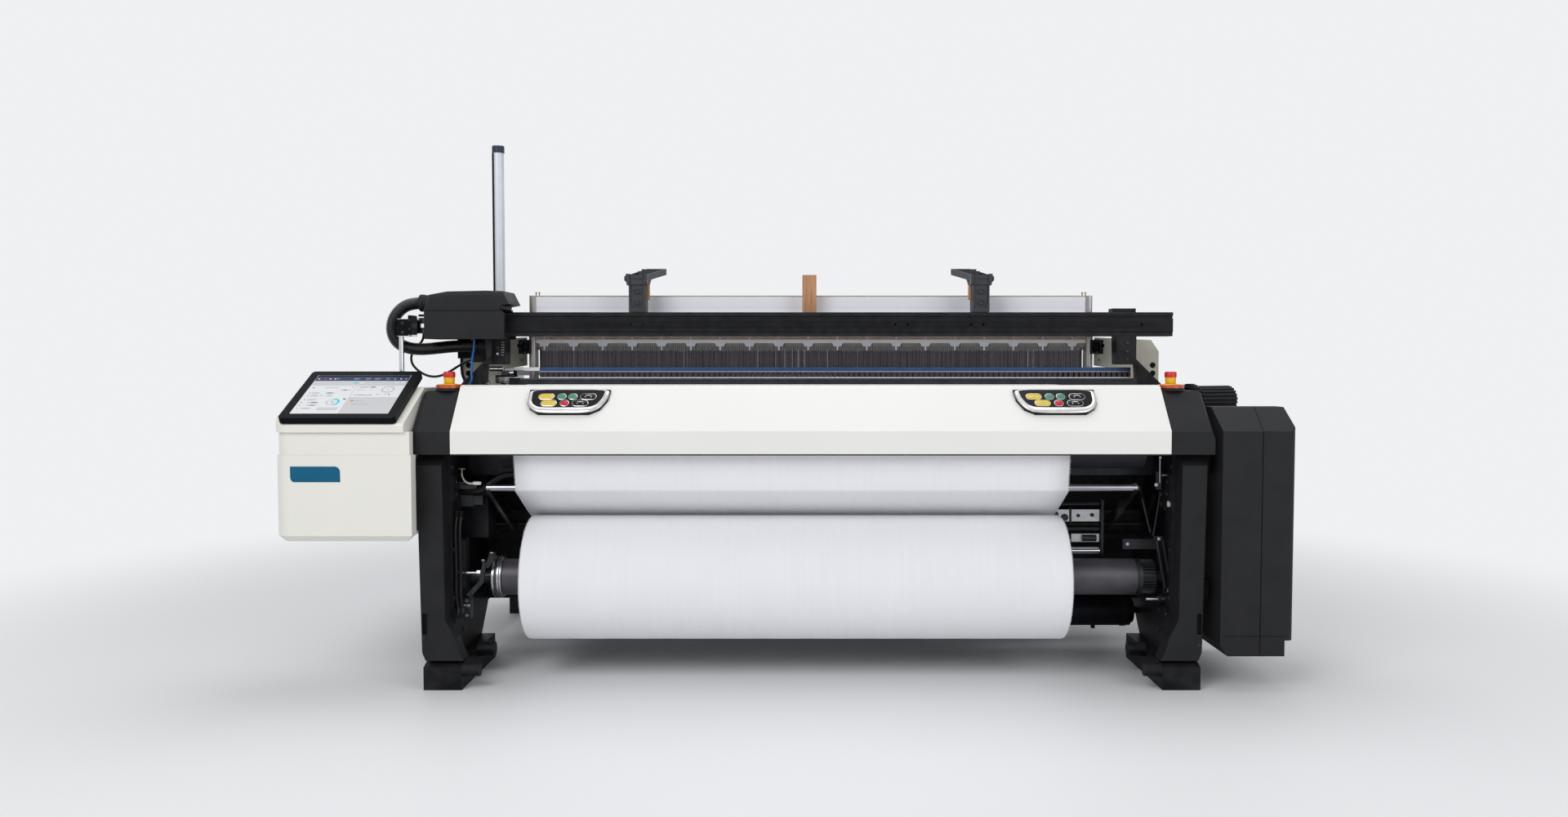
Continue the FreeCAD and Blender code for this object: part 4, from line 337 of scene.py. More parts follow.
class Shape:
    """Faces gathered from simple forms, each with one of the piece's materials by number."""

    def __init__(self):
        self.points = []
        self.faces = []
        self.looks = []

    def add(self, points, faces, look=0):
        first = len(self.points)
        self.points += points
        self.faces += [[first + i for i in face] for face in faces]
        self.looks += [look] * len(faces)

    def loft(self, rings, look=0, closed=False, ends=(True, True)):
        """Rings of points joined in turn, with ends over them or closed to the first ring."""
        count, last = len(rings[0]), len(rings) - 1
        sides, caps = [], []
        for a in range(last + closed):
            b = (a + 1) % (last + 1)
            for i in range(count):
                after = (i + 1) % count
                sides.append([a * count + i, a * count + after, b * count + after, b * count + i])
        if ends[0] and not closed:
            caps.append(list(range(count))[::-1])
        if ends[1] and not closed:
            caps.append([last * count + i for i in range(count)])
        self.add([point for ring in rings for point in ring],
                 caps + sides if last == 1 else sides + caps, look)

    def prism(self, outline, axis, start, end, look=0, turn=at):
        """An outline pushed along an axis; turn maps its own points to the machine."""
        self.loft([[turn(*{"X": (far, a, b), "Y": (a, far, b), "Z": (a, b, far)}[axis])
                    for a, b in outline] for far in (start, end)], look)

    def box(self, x0, x1, y0, y1, z0, z1, look=0, turn=at):
        self.prism([(y0, z0), (y1, z0), (y1, z1), (y0, z1)], "X", x0, x1, look, turn)

    def boxes(self, rows, look=0, turn=at):
        """Boxes, each (x0, x1, y0, y1, z0, z1)."""
        for row in rows:
            self.box(*row, look, turn)

    def plates(self, y0, y1, outlines, look=0, turn=at):
        """Outlines (X, Z) that reach from one depth to another."""
        for outline in outlines:
            self.prism(outline, "Y", y0, y1, look, turn)

    def lathe(self, profile, axis, centre, sides=32, look=0, turn=at, closed=False):
        """(place along the axis, radius) points turned about an axis through a centre."""
        rings = []
        for along, radius in profile:
            offsets = [{"X": (along, a, b), "Y": (b, along, a), "Z": (a, b, along)}[axis]
                       for a, b in circle(0, 0, radius, sides)]
            rings.append([turn(*(c + o for c, o in zip(centre, offset))) for offset in offsets])
        self.loft(rings, look, closed, (profile[0][1] > 0, profile[-1][1] > 0))

    def rods(self, rows, look=0):
        """Round bars along X, each (start, end, y, z, radius, sides)."""
        for start, end, y, z, radius, sides in rows:
            self.lathe([(start, radius), (end, radius)], "X", (0, y, z), sides, look)

    def bolts(self, spots, radius=6, height=4, look=0, axis="Y", facing=-1, turn=at):
        """Socket head screws: a head with a rim, and the hexagon sunk in it."""
        top = facing * height
        for spot in spots:
            self.lathe([(0, radius), (top * 0.8, radius), (top, radius * 0.86)], axis, spot, 16,
                       look, turn)
            self.lathe([(top, radius * 0.5), (top + facing * 0.4, radius * 0.46)], axis, spot, 6,
                       look, turn)

    def piece(self, name, looks, slot, body="loom", stands_for=None, bevel=0.0, sharp=35):
        """The finished object, on its body and with its materials, whose names are in looks."""
        mesh = bpy.data.meshes.new(name)
        mesh.from_pydata([tuple(point) for point in self.points], [], self.faces)
        for face, look in zip(mesh.polygons, self.looks):
            face.material_index = look
        for look in looks.split():
            mesh.materials.append(LOOKS[look])
        work = bmesh.new()
        work.from_mesh(mesh)
        bmesh.ops.remove_doubles(work, verts=work.verts, dist=1e-6)
        bmesh.ops.recalc_face_normals(work, faces=work.faces)
        work.to_mesh(mesh)
        work.free()
        mesh.shade_smooth()
        mesh.set_sharp_from_angle(angle=math.radians(sharp))
        obj = new_object(name, mesh)
        if bevel:
            cut = obj.modifiers.new("edges", "BEVEL")
            cut.width = bevel * MM
            cut.segments = 2
            cut.limit_method = "ANGLE"
            cut.angle_limit = math.radians(35)
            cut.harden_normals = False
        if body:
            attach(obj, body)
        if stands_for:
            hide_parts(stands_for)
        return obj


def capsule(x, y, half_x, half_y, steps=8):
    """An upright oval outline with round ends."""
    outline = []
    for end, start in ((1, -90), (-1, 90)):
        for i in range(steps + 1):
            angle = math.radians(start + 180 * i / steps)
            outline.append((x + end * (half_x - half_y) + half_y * math.cos(angle),
                            y + half_y * math.sin(angle)))
    return outline


def curve(name, points, radius, look):
    data = bpy.data.curves.new(name, "CURVE")
    data.dimensions = "3D"
    spline = data.splines.new("NURBS")
    spline.points.add(len(points) - 1)
    for spot, place in zip(points, spline.points):
        place.co = tuple(at(*spot)) + (1,)
    spline.order_u = 3
    spline.use_endpoint_u = True
    spline.resolution_u = 8
    data.bevel_depth = radius * MM
    data.bevel_resolution = 3
    data.use_fill_caps = True
    data.materials.append(LOOKS[look])
    return new_object(name, data)


def pipe(name, points, radius, look):
    """A bent tube or a cable that runs smoothly along points."""
    obj = curve(name, points, radius, look)
    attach(obj, "loom")
    return obj


# ---- hose, cable and air tube ----

HOSE_Y, HOSE_Z = -450, 1180
HOSE_ROUTE = [(x, HOSE_Y, z) for x, z in (
    (-1416, 1336), (-1464, 1336), (-1506, 1310), (-1531, 1272), (-1534, 1227), (-1514, 1190),
    (-1477, 1172), (-1431, 1167), (-1377, 1171), (-1318, 1178), (-1262, HOSE_Z), (-1183, HOSE_Z))]
CABLE_ROUTE = [(-1432, -405, 1226), (-1432, -405, 1204), (-1454, -405, 1180),
               (-1480, -405, 1148), (-1478, -405, 1114), (-1452, -405, 1086),
               (-1417, -405, 1068), (-1380, -405, 1066), (-1340, -399, 1084),
               (-1306, -381, 1110), (-1276, -343, 1130), (-1260, -301, 1138),
               (-1260, -262, 1138)]
AIR_ROUTE = [(-1222, -488, 1235), (-1222, -488, 1180), (-1231, -490, 1128),
             (-1233, -494, 1088), (-1228, -499, 1056), (-1244, -496, 1034),
             (-1264, -492, 1018), (-1264, -492, 985)]


def make_hose():
    """The corrugated hose: ribs at an even pitch along the smooth line of its route."""
    line = curve("hose_line", HOSE_ROUTE, 0, "hose")
    line.data.splines[0].resolution_u = 24
    drawn = bpy.data.meshes.new_from_object(line)
    points = [line.matrix_world @ vert.co for vert in drawn.vertices]
    bpy.data.meshes.remove(drawn)
    bpy.data.objects.remove(line)
    lengths = [0.0]
    for a, b in zip(points, points[1:]):
        lengths.append(lengths[-1] + (b - a).length)
    crest, root, pitch, plain, sides = 0.0225, 0.0194, 0.0056, 0.008, 28
    rib = ((0, root), (0.22, crest - 0.0005), (0.38, crest), (0.54, crest - 0.0005), (0.76, root))
    course = [(0.0, root)]
    for number in range(int((lengths[-1] - 2 * plain) / pitch)):
        course += [(plain + (number + share) * pitch, radius) for share, radius in rib]
    course.append((lengths[-1], root))
    rings = []
    side = Vector((0, 1, 0))
    spot = 0
    for distance, radius in course:
        while spot < len(points) - 2 and lengths[spot + 1] < distance:
            spot += 1
        run = points[spot + 1] - points[spot]
        centre = points[spot] + run * ((distance - lengths[spot]) / run.length)
        ahead = points[min(len(points) - 1, spot + 2)] - points[max(0, spot - 1)]
        up = side.cross(ahead.normalized()).normalized()
        rings.append([centre + side * a + up * b for a, b in circle(0, 0, radius, sides)])
    shape = Shape()
    shape.loft(rings)
    hose = shape.piece("ribbed_hose", "hose", "hose", stands_for="corrugated_hose", sharp=70)
    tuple(points[0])


make_hose()
cable = pipe("weft_feeder_cable", CABLE_ROUTE, 4.5, "cable")
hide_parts("feeder_cable")
air = pipe("blue_air_line", AIR_ROUTE, 4, "air_blue")
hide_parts("air_tube")


# ---- cloth ----

CLOTH_LEFT, CLOTH_RIGHT = -1016, 879
FELL_Y, FELL_Z = -466, 1040
ROLL_Y, ROLL_Z, ROLL_RADIUS = -580, 355, 219
# what the cloth touches in turn: the breast beam's nose, take-up roller, deflector roller, guide
# bar and roll, each (y, z, radius), with a radius below 0 where it lies on the cloth's right
COURSE = ((-590, 1009.2, 30), (-560, 817, -75), (-745, 842, 25), (-730, 690, 12.5),
          (ROLL_Y, ROLL_Z, -ROLL_RADIUS))
CLEAR = 0.8


def tangent(first, second, first_radius, second_radius):
    """Where a line touches two circles in turn; a radius above 0 lies on its left."""
    across = (second[0] - first[0], second[1] - first[1])
    span = math.hypot(*across)
    angle = math.atan2(across[1], across[0]) - math.asin((second_radius - first_radius) / span)
    normal = (-math.sin(angle), math.cos(angle))
    return [(c[0] - r * normal[0], c[1] - r * normal[1])
            for c, r in ((first, first_radius), (second, second_radius))]


def belt_line(circles, step=6):
    """Points (Y, Z) along a sheet that runs round circles (y, z, signed radius)."""
    runs = [tangent(a, b, a[2], b[2]) for a, b in zip(circles, circles[1:])]
    line = []
    for number, (start, end) in enumerate(runs):
        count = max(1, int(math.dist(start, end) / 30))
        line += [(start[0] + (end[0] - start[0]) * i / count,
                  start[1] + (end[1] - start[1]) * i / count) for i in range(count + 1)]
        if number + 1 < len(runs):
            y, z, turn = circles[number + 1]
            after = runs[number + 1][0]
            first = math.atan2(end[1] - z, end[0] - y)
            sweep = (math.atan2(after[1] - z, after[0] - y) - first) % (2 * math.pi)
            if turn < 0:
                sweep -= 2 * math.pi
            arcs = max(2, int(abs(sweep * turn) / step))
            line += [(y + abs(turn) * math.cos(first + sweep * i / arcs),
                      z + abs(turn) * math.sin(first + sweep * i / arcs))
                     for i in range(1, arcs)]
    return line


def strip(name, line, x0, x1, columns, look, node_name, edge=0.0):
    """A sheet 1 mm thick along a line of (Y, Z) points, with its edges slightly uneven."""
    rng = random.Random(len(line))
    shape = Shape()
    points = []
    for y, z in line:
        wobble = {0: rng.uniform(-edge, edge), columns: rng.uniform(-edge, edge)}
        points += [at(x0 + (x1 - x0) * column / columns + wobble.get(column, 0), y, z)
                   for column in range(columns + 1)]
    wide = columns + 1
    corners = [row * wide + column for row in range(len(line) - 1) for column in range(columns)]
    shape.add(points, [[a, a + 1, a + wide + 1, a + wide] for a in corners])
    obj = shape.piece(name, look, look, stands_for=node_name, sharp=60)
    solid = obj.modifiers.new("thickness", "SOLIDIFY")
    solid.thickness = MM
    solid.offset = 0
    return obj


def length_of(line):
    return sum(math.dist(a, b) for a, b in zip(line, line[1:]))


def selvedge(name, line, x, side, rng):
    """Short weft ends that stand out of the cloth's edge, one row along its line."""
    shape = Shape()
    step = 0.0
    for a, b in zip(line, line[1:]):
        run = math.dist(a, b)
        while step < run:
            y = a[0] + (b[0] - a[0]) * step / run
            z = a[1] + (b[1] - a[1]) * step / run
            reach = rng.uniform(2.0, 4.5) * side
            slack = rng.uniform(-0.8, 0.8)
            shape.box(min(x, x + reach), max(x, x + reach), y - 0.5, y + 0.5,
                      z - 0.45 + slack, z + 0.45 + slack)
            step += rng.uniform(2.6, 4.2)
        step -= run
    return shape.piece(name, "cloth", "cloth")


cloth_line = belt_line([(FELL_Y, FELL_Z, 0)] + [(y, z, radius + math.copysign(CLEAR, radius))
                                                for y, z, radius in COURSE])
cloth = strip("cloth_web", cloth_line, CLOTH_LEFT, CLOTH_RIGHT, 24, "cloth", "cloth_sheet", 0.7)
fringes = [selvedge("selvedge_left", cloth_line, CLOTH_LEFT, -1, random.Random(3)),
           selvedge("selvedge_right", cloth_line, CLOTH_RIGHT, 1, random.Random(4))]
length_of(cloth_line) * MM


def make_roll():
    """The wound cloth: a long roll whose turns end a little unevenly."""
    rng = random.Random(7)
    left, right, core, turns, waves, ends = -1000, 890, 63.5, 22, 40, 330
    shoulder = ((1, 5), (3.5, 1.6), (8, 0.2))

    def face(x, inwards, order):
        return [(x + inwards * (rng.uniform(0, 2.4) + (3 if i % 5 == 0 else 0)),
                 core + (ROLL_RADIUS - 9 - core) * i / turns) for i in order]

    profile = face(left, 1, range(turns + 1))
    profile += [(left + x, ROLL_RADIUS - less) for x, less in shoulder]
    profile += [(left + 8 + (right - left - 16) * i / waves,
                 ROLL_RADIUS - 0.25 + 0.2 * math.sin(i * 1.7)) for i in range(1, waves)]
    profile += [(right - x, ROLL_RADIUS - less) for x, less in shoulder[::-1]]
    profile += face(right, -1, range(turns, -1, -1))
    shape = Shape()
    shape.lathe(profile, "X", (0, ROLL_Y, ROLL_Z), 96, closed=True)
    # weft ends round both edges of the outer turn
    for x, side in ((left + 2, -1), (right - 2, 1)):
        for i in range(ends):
            angle = 2 * math.pi * (i + rng.uniform(0, 0.6)) / ends
            r = ROLL_RADIUS - rng.uniform(1, 3.5)
            reach = side * rng.uniform(1.2, 3.2)
            shape.add([at(x + dx, ROLL_Y + r * math.cos(way), ROLL_Z + r * math.sin(way))
                       for dx in (0, reach) for way in (angle, angle + 0.005)], [[0, 1, 3, 2]])
    shape.piece("wound_cloth", "cloth", "cloth", "cloth_winding", "cloth_roll", sharp=60)


make_roll()


# ---- key panels on the front cover ----

CREASE_Y, CREASE_Z = -810, 890
SLOPE = math.atan2(1042 - CREASE_Z, -673 - CREASE_Y)
# (distance from the middle, height up the slope) of the rim's outer and inner edges
RIM_OUTSIDE = ((973, 176), (975, 116), (963, 92), (933, 70), (760, 70), (724, 90), (700, 132),
               (694, 176))
RIM_INSIDE = ((960, 174.8), (961, 124), (953, 107), (931, 93.5), (762, 93.5), (736, 106),
              (718, 136), (709, 174.8))
SHEET = 11.9
# each key's centre on the left and on the right panel, height up the slope, half length and look
KEYS = ((-911, 761, 140, 26, "key_yellow"), (-858, 815, 140, 14, "key_green"),
        (-820, 853, 140, 14, "key_green"), (-767, 909, 140, 26, "keypad"),
        (-900, 788, 111, 26, "key_yellow"), (-846, 843, 111, 14, "key_red"),
        (-792, 899, 111, 26, "keypad"))


def on_slope(x, u, w):
    """A point of the cover's slope: u up it from the crease and w out of it."""
    return at(x, CREASE_Y + u * math.cos(SLOPE) - w * math.sin(SLOPE),
              CREASE_Z + u * math.sin(SLOPE) + w * math.cos(SLOPE))


def inset(outline, by):
    """A convex outline moved inwards; it runs clockwise or anticlockwise."""
    edges = list(zip(outline, outline[1:] + outline[:1]))
    side = 1 if sum(a[0] * b[1] - b[0] * a[1] for a, b in edges) > 0 else -1
    lines = []
    for a, b in edges:
        length = math.dist(a, b)
        along = ((b[0] - a[0]) / length, (b[1] - a[1]) / length)
        lines.append(((a[0] - along[1] * by * side, a[1] + along[0] * by * side), along))
    moved = []
    for i in range(len(lines)):
        (p, d), (q, e) = lines[i - 1], lines[i]
        cross = d[0] * e[1] - d[1] * e[0]
        step = ((q[0] - p[0]) * e[1] - (q[1] - p[1]) * e[0]) / cross
        moved.append((p[0] + d[0] * step, p[1] + d[1] * step))
    return moved


def smooth_outline(corners, cuts=6, share=0.4):
    """An outline whose corners are rounded by short curves."""
    made = []
    for i, corner in enumerate(corners):
        before, after = corners[i - 1], corners[(i + 1) % len(corners)]
        start = [c + (b - c) * share for c, b in zip(corner, before)]
        end = [c + (a - c) * share for c, a in zip(corner, after)]
        for step in range(cuts + 1):
            t = step / cuts
            made.append(tuple((1 - t) ** 2 * s + 2 * t * (1 - t) * c + t ** 2 * e
                              for s, c, e in zip(start, corner, end)))
    return made


def ring_between(shape, inner, outer, levels, turn):
    """A rim between two outlines with as many points: inner wall, face, outer wall."""
    shape.loft([[turn(x, u, level) for x, u in outline]
                for outline, level in zip((inner, inner, outer, outer), levels)], closed=True)


def make_panel(side, sign):
    outer = inset(smooth_outline([(sign * x, u) for x, u in RIM_OUTSIDE], share=0.3), 0.8)
    inner = smooth_outline([(sign * x, u) for x, u in RIM_INSIDE], share=0.3)
    rings = []
    # share of the way from the outer edge to the inner one, and level over the slope
    for share, level in ((0, 9.0), (0, 12.4), (0.16, 15.2), (0.36, 16.0), (0.8, 14.2), (1, 14.0),
                         (1, SHEET)):
        ring = [[p + (q - p) * share for p, q in zip(a, b)] for a, b in zip(outer, inner)]
        # the rim dies away at the top edge, which stays bare
        rings.append([on_slope(x, u, SHEET + (level - SHEET) * min(1, max(0, (174 - u) / 12)))
                      for x, u in ring])
    rim = Shape()
    rim.loft(rings, closed=True)
    rim.piece(side + "_panel_rim", "rim", "chrome", sharp=50)
    looks = "rim key_yellow key_green key_red keypad"
    keys = Shape()
    for on_left, on_right, u, half, look_name in KEYS:
        x = on_left if sign < 0 else on_right
        look = looks.split().index(look_name)
        ring_between(keys, capsule(x, u, half + 0.6, 12.6), capsule(x, u, half + 2, 14),
                     (12.0, 16.0, 15.5, 12.0), on_slope)
        # the cap, an oval with a domed top
        keys.loft([[on_slope(a, b, level) for a, b in capsule(x, u, half + 0.5 - less, 12 - less)]
                   for less, level in ((0, 13.0), (0.4, 15.2), (2.6, 16.2))], look)
        if look_name in ("key_green", "key_red"):
            keys.prism(circle(x, u, 3.6, 12), "Z", 15.6, 17.2, look, on_slope)
            continue
        # a long key has two studs under a raised bar
        for stud in (-10, 10):
            keys.prism(circle(x + stud, u - 3, 2.2, 8), "Z", 15.6, 17.6, 0, on_slope)
        bar = smooth_outline([(x - 12, u + 3), (x + 12, u + 3), (x + 9, u + 6.5),
                              (x - 9, u + 6.5)], 3)
        keys.prism(bar, "Z", 15.6, 17.0, 0 if look_name == "keypad" else look, on_slope)
    keys.piece(side + "_key_caps", looks, "keypad")


make_panel("left", -1)
make_panel("right", 1)


# ---- stop buttons: the neck rides on the button, the collar and foot stay on the cover ----

# name, body, slot, looks, and for each look in turn the count of sides and the profile
STOP_PARTS = (
    ("neck", "{}_stop", "stop_red", "yellow stop_red",
     (32, [(25.5, 16.1), (25.5, 17.6), (30, 17.6), (31, 18.6), (46.6, 18.6), (46.9, 17)]),
     (40, [(46.9, 20.1), (47.5, 20.6), (62, 20.6), (65, 19.2), (66.4, 16.5), (66.6, 0.001)])),
    ("collar", "loom", "stop_ring", "yellow stop_ring",
     (40, [(20.2, 19.5), (24.6, 19.8), (24.8, 21), (21.5, 33), (20.4, 37), (20.2, 37)]),
     (48, [(9.8, 45.2), (9.6, 46.6), (18.5, 46.2), (21.6, 42), (21.2, 37.5), (20.2, 37.2)])),
    ("foot", "loom", "cover_black", "cover_black",
     (40, [(0.2, 41.2), (0.2, 50), (3.5, 49.4), (5, 46), (9, 44.5), (9.3, 41.3)])))

for side, x in (("left", -1271), ("right", 1259)):
    for name, body, slot, looks, *turned in STOP_PARTS:
        stop = Shape()
        for look, (sides, profile) in enumerate(turned):
            stop.lathe(profile, "Z", (x, -634, 1022), sides, look)
        stop.piece(f"{side}_stop_{name}", looks, slot, body.format(side))


# ---- display ----

TILT = math.radians(26.6)
DISPLAY_FOOT = 917 - 4 * math.tan(TILT) + 3.6 / math.cos(TILT)
NAVY, CYAN, GREY, PALE, YELLOW, RED, WHITE, BLACK = range(8)


def on_display(x, u, w):
    """A point of the display's face: u up it from its foot and w out of it."""
    return at(x, -870 + u * math.cos(TILT) - w * math.sin(TILT),
              DISPLAY_FOOT + u * math.sin(TILT) + w * math.cos(TILT))


def make_display_marks():
    """The picture on the lit screen: bars, panels and gauges with no writing."""
    marks = Shape()

    def layer(outline, look, level):
        """A mark 0.15 mm thick; a higher level lies over a lower one."""
        top = 22.05 + 0.2 * level
        marks.prism(outline, "Z", top - 0.15, top, look, on_display)

    def patches(*rows):
        for x0, x1, u0, u1, look, *level in rows:
            layer([(x0, u0), (x1, u0), (x1, u1), (x0, u1)], look, level[0] if level else 1)

    def gauge(x, u, outer, inner, look, level=1, start=0, end=360):
        steps = max(6, int((end - start) / 12))
        turns = [math.radians(start + (end - start) * i / steps) for i in range(steps + 1)]
        for a, b in zip(turns, turns[1:]):
            layer([(x + r * math.cos(angle), u + r * math.sin(angle))
                   for r, angle in ((outer, a), (outer, b), (inner, b), (inner, a))], look, level)

    # the bars across the top and the edges of the panels under them
    left, right = -1739, -1413
    patches((left, right, 294, 304, BLACK), (left, right, 262, 294, NAVY),
            (left, right, 227, 262, PALE), (-1580, -1577, 31, 227, PALE),
            (-1577, right, 140, 143, PALE), (-1577, right, 31, 140, PALE, 0.5))
    # marks on the bars
    for x, look in ((-1731, WHITE), (-1709, RED), (-1691, WHITE), (-1674, WHITE), (-1464, GREY),
                    (-1443, WHITE), (-1426, GREY)):
        patches((x, x + 6, 273, 280, look, 2))
    for x0, x1 in ((-1666, -1656), (-1607, -1584), (-1565, -1546), (-1534, -1512),
                   (-1493, -1479)):
        patches((x0, x1, 279, 281.5, GREY, 2), (x0 + 2, x1 - 3, 273, 275, GREY, 2))
    patches((-1597, -1579, 243, 250, CYAN, 2), (-1578, -1561, 243, 250, WHITE, 2))
    for x in (-1452, -1433):
        patches((x, x + 12, 245, 256, WHITE, 2), (x + 4, x + 8, 249, 252, GREY, 3))
    # rows of fields in the wide panel on the left: a mark, a pale field and a line in it
    thin, bold = (1.2, GREY), (2, NAVY)
    for x, u, x0, x1, line0, line1, (half, look) in (
            (-1726, 173, -1718, -1690, -1713, -1694, thin),
            (-1668, 173, -1665, -1640, -1662, -1646, bold),
            (-1726, 154, -1717, -1688, -1713, -1691, thin),
            (-1679, 155, -1662, -1640, -1657, -1643, thin),
            (-1726, 126, -1716, -1684, -1704, -1693, thin),
            (-1730, 106, -1708, -1671, -1695, -1676, bold),
            (-1730, 87, -1705, -1670, -1691, -1678, bold),
            (-1729, 65, -1714, -1682, -1702, -1694, thin),
            (-1594, 195, -1624, -1598, -1614, -1606, bold)):
        patches((x, x + 4, u - 2, u + 2, NAVY), (x0, x1, u - 5, u + 5, PALE),
                (line0, line1, u - half, u + half, look, 2))
    patches((-1727, -1721, 209, 214, NAVY), (-1684, -1634, 209.5, 212.5, GREY),
            (-1592, -1587, 213, 217, GREY), (-1595, -1586, 127, 134, NAVY),
            (-1660, -1592, 52, 72, PALE))
    gauge(-1624, 109, 22, 17, PALE)
    gauge(-1624, 109, 23.5, 16.5, CYAN, 2, -68, 96)
    patches((-1629, -1619, 112, 116, CYAN), (-1628, -1620, 103, 106, NAVY))
    # the panel with the plain gauge, and the two notes under it
    for x0, x1, u, line0, line1 in ((-1569, -1533, 216, -1560, -1541),
                                    (-1570, -1507, 159, -1555, -1535)):
        patches((x0, x1, u - 5, u + 5, PALE), (line0, line1, u - 1.4, u + 1.4, GREY, 2))
    patches((-1528, -1510, 213, 218.5, NAVY), (-1513, -1510, 157, 161, NAVY, 2),
            (-1566, -1562, 193, 197, NAVY), (-1559, -1540, 195, 197, GREY),
            (-1526, -1516, 195, 197, GREY))
    gauge(-1463, 199, 22, 18, GREY)
    patches((-1464.5, -1461.5, 197.5, 200.5, NAVY))
    for x, u, look in ((-1489, 163, RED), (-1476, 163.5, YELLOW), (-1463, 164, CYAN),
                       (-1450, 164.5, NAVY)):
        gauge(x, u, 3, 0.8, look)
    for u, look, reach in ((118, RED, -1516), (97, YELLOW, -1497)):
        gauge(-1561, u, 5, 1.5, look, 2)
        patches((-1552, reach, u - 4, u - 1, GREY, 2))
    marks.piece("display_picture", "ui_navy ui_cyan ui_grey ui_pale ui_yellow ui_red screen "
                "display_black", "screen")


make_display_marks()


# ---- control box, housing and leg covers: plate, seams, screws and slots ----

def make_box_trim():
    # a bare blue plate on the front, and a red reflector beside it
    box = Shape()
    box.prism([(-1735, 729), (-1728, 724), (-1572, 724), (-1572, 758)]
              + circle(-1590, 758, 18, 24)[1:7] + [(-1738, 776), (-1738, 742), (-1737, 734)],
              "Y", -861.6, -860.1)
    box.box(-1358.5, -1348, -813, -808, 780, 807, 1)
    box.piece("box_plate", "badge_blue stop_red", "frame_paint", bevel=0.5)
    # seams on the housing's front, one of which goes on up its slope
    seam = Shape()
    seam.boxes([(1517.5, 1520.5, -810.6, -809.8, 133, 888),
                (1392, 1612, -810.5, -809.8, 192.6, 194.4)])
    seam.loft([[at(x + dx, y - 0.54 * out, z + 0.8415 * out)
                for dx, out in ((-1.3, -0.3), (-1.3, 0.4), (1.3, 0.4), (1.3, -0.3))]
               for x, y, z in ((1519, -810, 890), (1532, -690, 967))])
    seam.piece("housing_seam", "display_black", "frame_paint")
    screws = Shape()
    screws.bolts([(-1330, -770.1, 176), (1324, -770.1, 153)], 7, 3)
    screws.piece("leg_screws", "dark_steel", "dark_steel")
    slots = Shape()
    # black plates at the backs of the leg covers' slots: painted shade inside the slots
    slots.boxes([(x, x + 15, -763.4, -762, 190.5, 261.5) for x in (-1333.5, 1318.5)])
    slots.piece("leg_slot_backs", "display_black", "frame_paint")


make_box_trim()


def make_motor():
    """Drive motor: a casing with ribs along its length, on its foot, turned a little outwards."""
    c, s = math.cos(math.radians(20)), math.sin(math.radians(20))

    def turn(x, y, z):
        return at(1399 + c * x - s * y, -450 + s * x + c * y, 982 + z)

    ribs, radius = 22, 52
    rib = (45.8, 45.8, 51.2, radius, radius, 51.2)
    rings = []
    for along, share in ((0.05, 0.55), (2, 0.74), (8, 0.885), (8.2, 1), (160, 1), (160.2, 0.88),
                         (163, 0.86), (165, 0.78)):
        ring = circle(0, 0, share * radius, ribs * len(rib))
        if share == 1:
            ring = [(y * rib[i % len(rib)] / radius, z * rib[i % len(rib)] / radius)
                    for i, (y, z) in enumerate(ring)]
        rings.append([turn(along, y, z) for y, z in ring])
    motor = Shape()
    motor.loft(rings)
    motor.box(34, 118, -30, 30, -77, -40, 1, turn)
    motor.piece("motor_casing", "cover_black frame_paint", "frame_paint",
                stands_for="drive_motor", sharp=30)


make_motor()

lip = Shape()
lip.box(-1218, 1208, -810.5, -806.4, 808.4, 812.4)
lip.piece("cover_lip", "cover_black", "cover_black")


# ---- side castings: pads, ribs and screws ----

def make_casting_details():
    inside, outside = Shape(), Shape()
    for sign in (-1, 1):
        face = sign * 1249.8
        pad = sorted((face, sign * 1242))
        inside.bolts([(sign * 1249.9, -690, z) for z in (760, 690, 470, 300)], 8, 6, 1, "X", -sign)
        inside.boxes([(*pad, *rest) for rest in (
            (-699, -640, 640, 730), (-640, -585, 600, 672), (-699, -560, 150, 262))])
        inside.bolts([(sign * 1242, y, z) for y, z in (
            (-672, 705), (-672, 662), (-610, 620), (-610, 655), (-680, 240), (-600, 240),
            (-680, 170), (-600, 170))], 8, 6, 1, "X", -sign)
        # cast ribs across the inner face of the frame, 10 mm wide
        half = 5 / math.sqrt(2)
        for z0, z1, lean in ((640, 460, half), (460, 640, -half)):
            inside.prism([(-520 + lean, z0 + half), (-340 + lean, z1 + half),
                          (-340 - lean, z1 - half), (-520 - lean, z0 - half)], "X", face,
                         sign * 1238)
        outside.bolts([(sign * 1310.1, y, 130) for y in (-660, -500, 540, 660)], 10, 8, 0, "X",
                      sign)
        outside.bolts([(sign * 1310.1, y, z) for y in (-690, 690) for z in (300, 560, 820)], 8, 6,
                      0, "X", sign)
    inside.piece("casting_pads", "frame_paint dark_steel", "frame_paint", bevel=1.0)
    outside.piece("casting_bolts", "dark_steel", "dark_steel")


make_casting_details()


# ---- inside the left frame: handle, lines, take-up levers ----

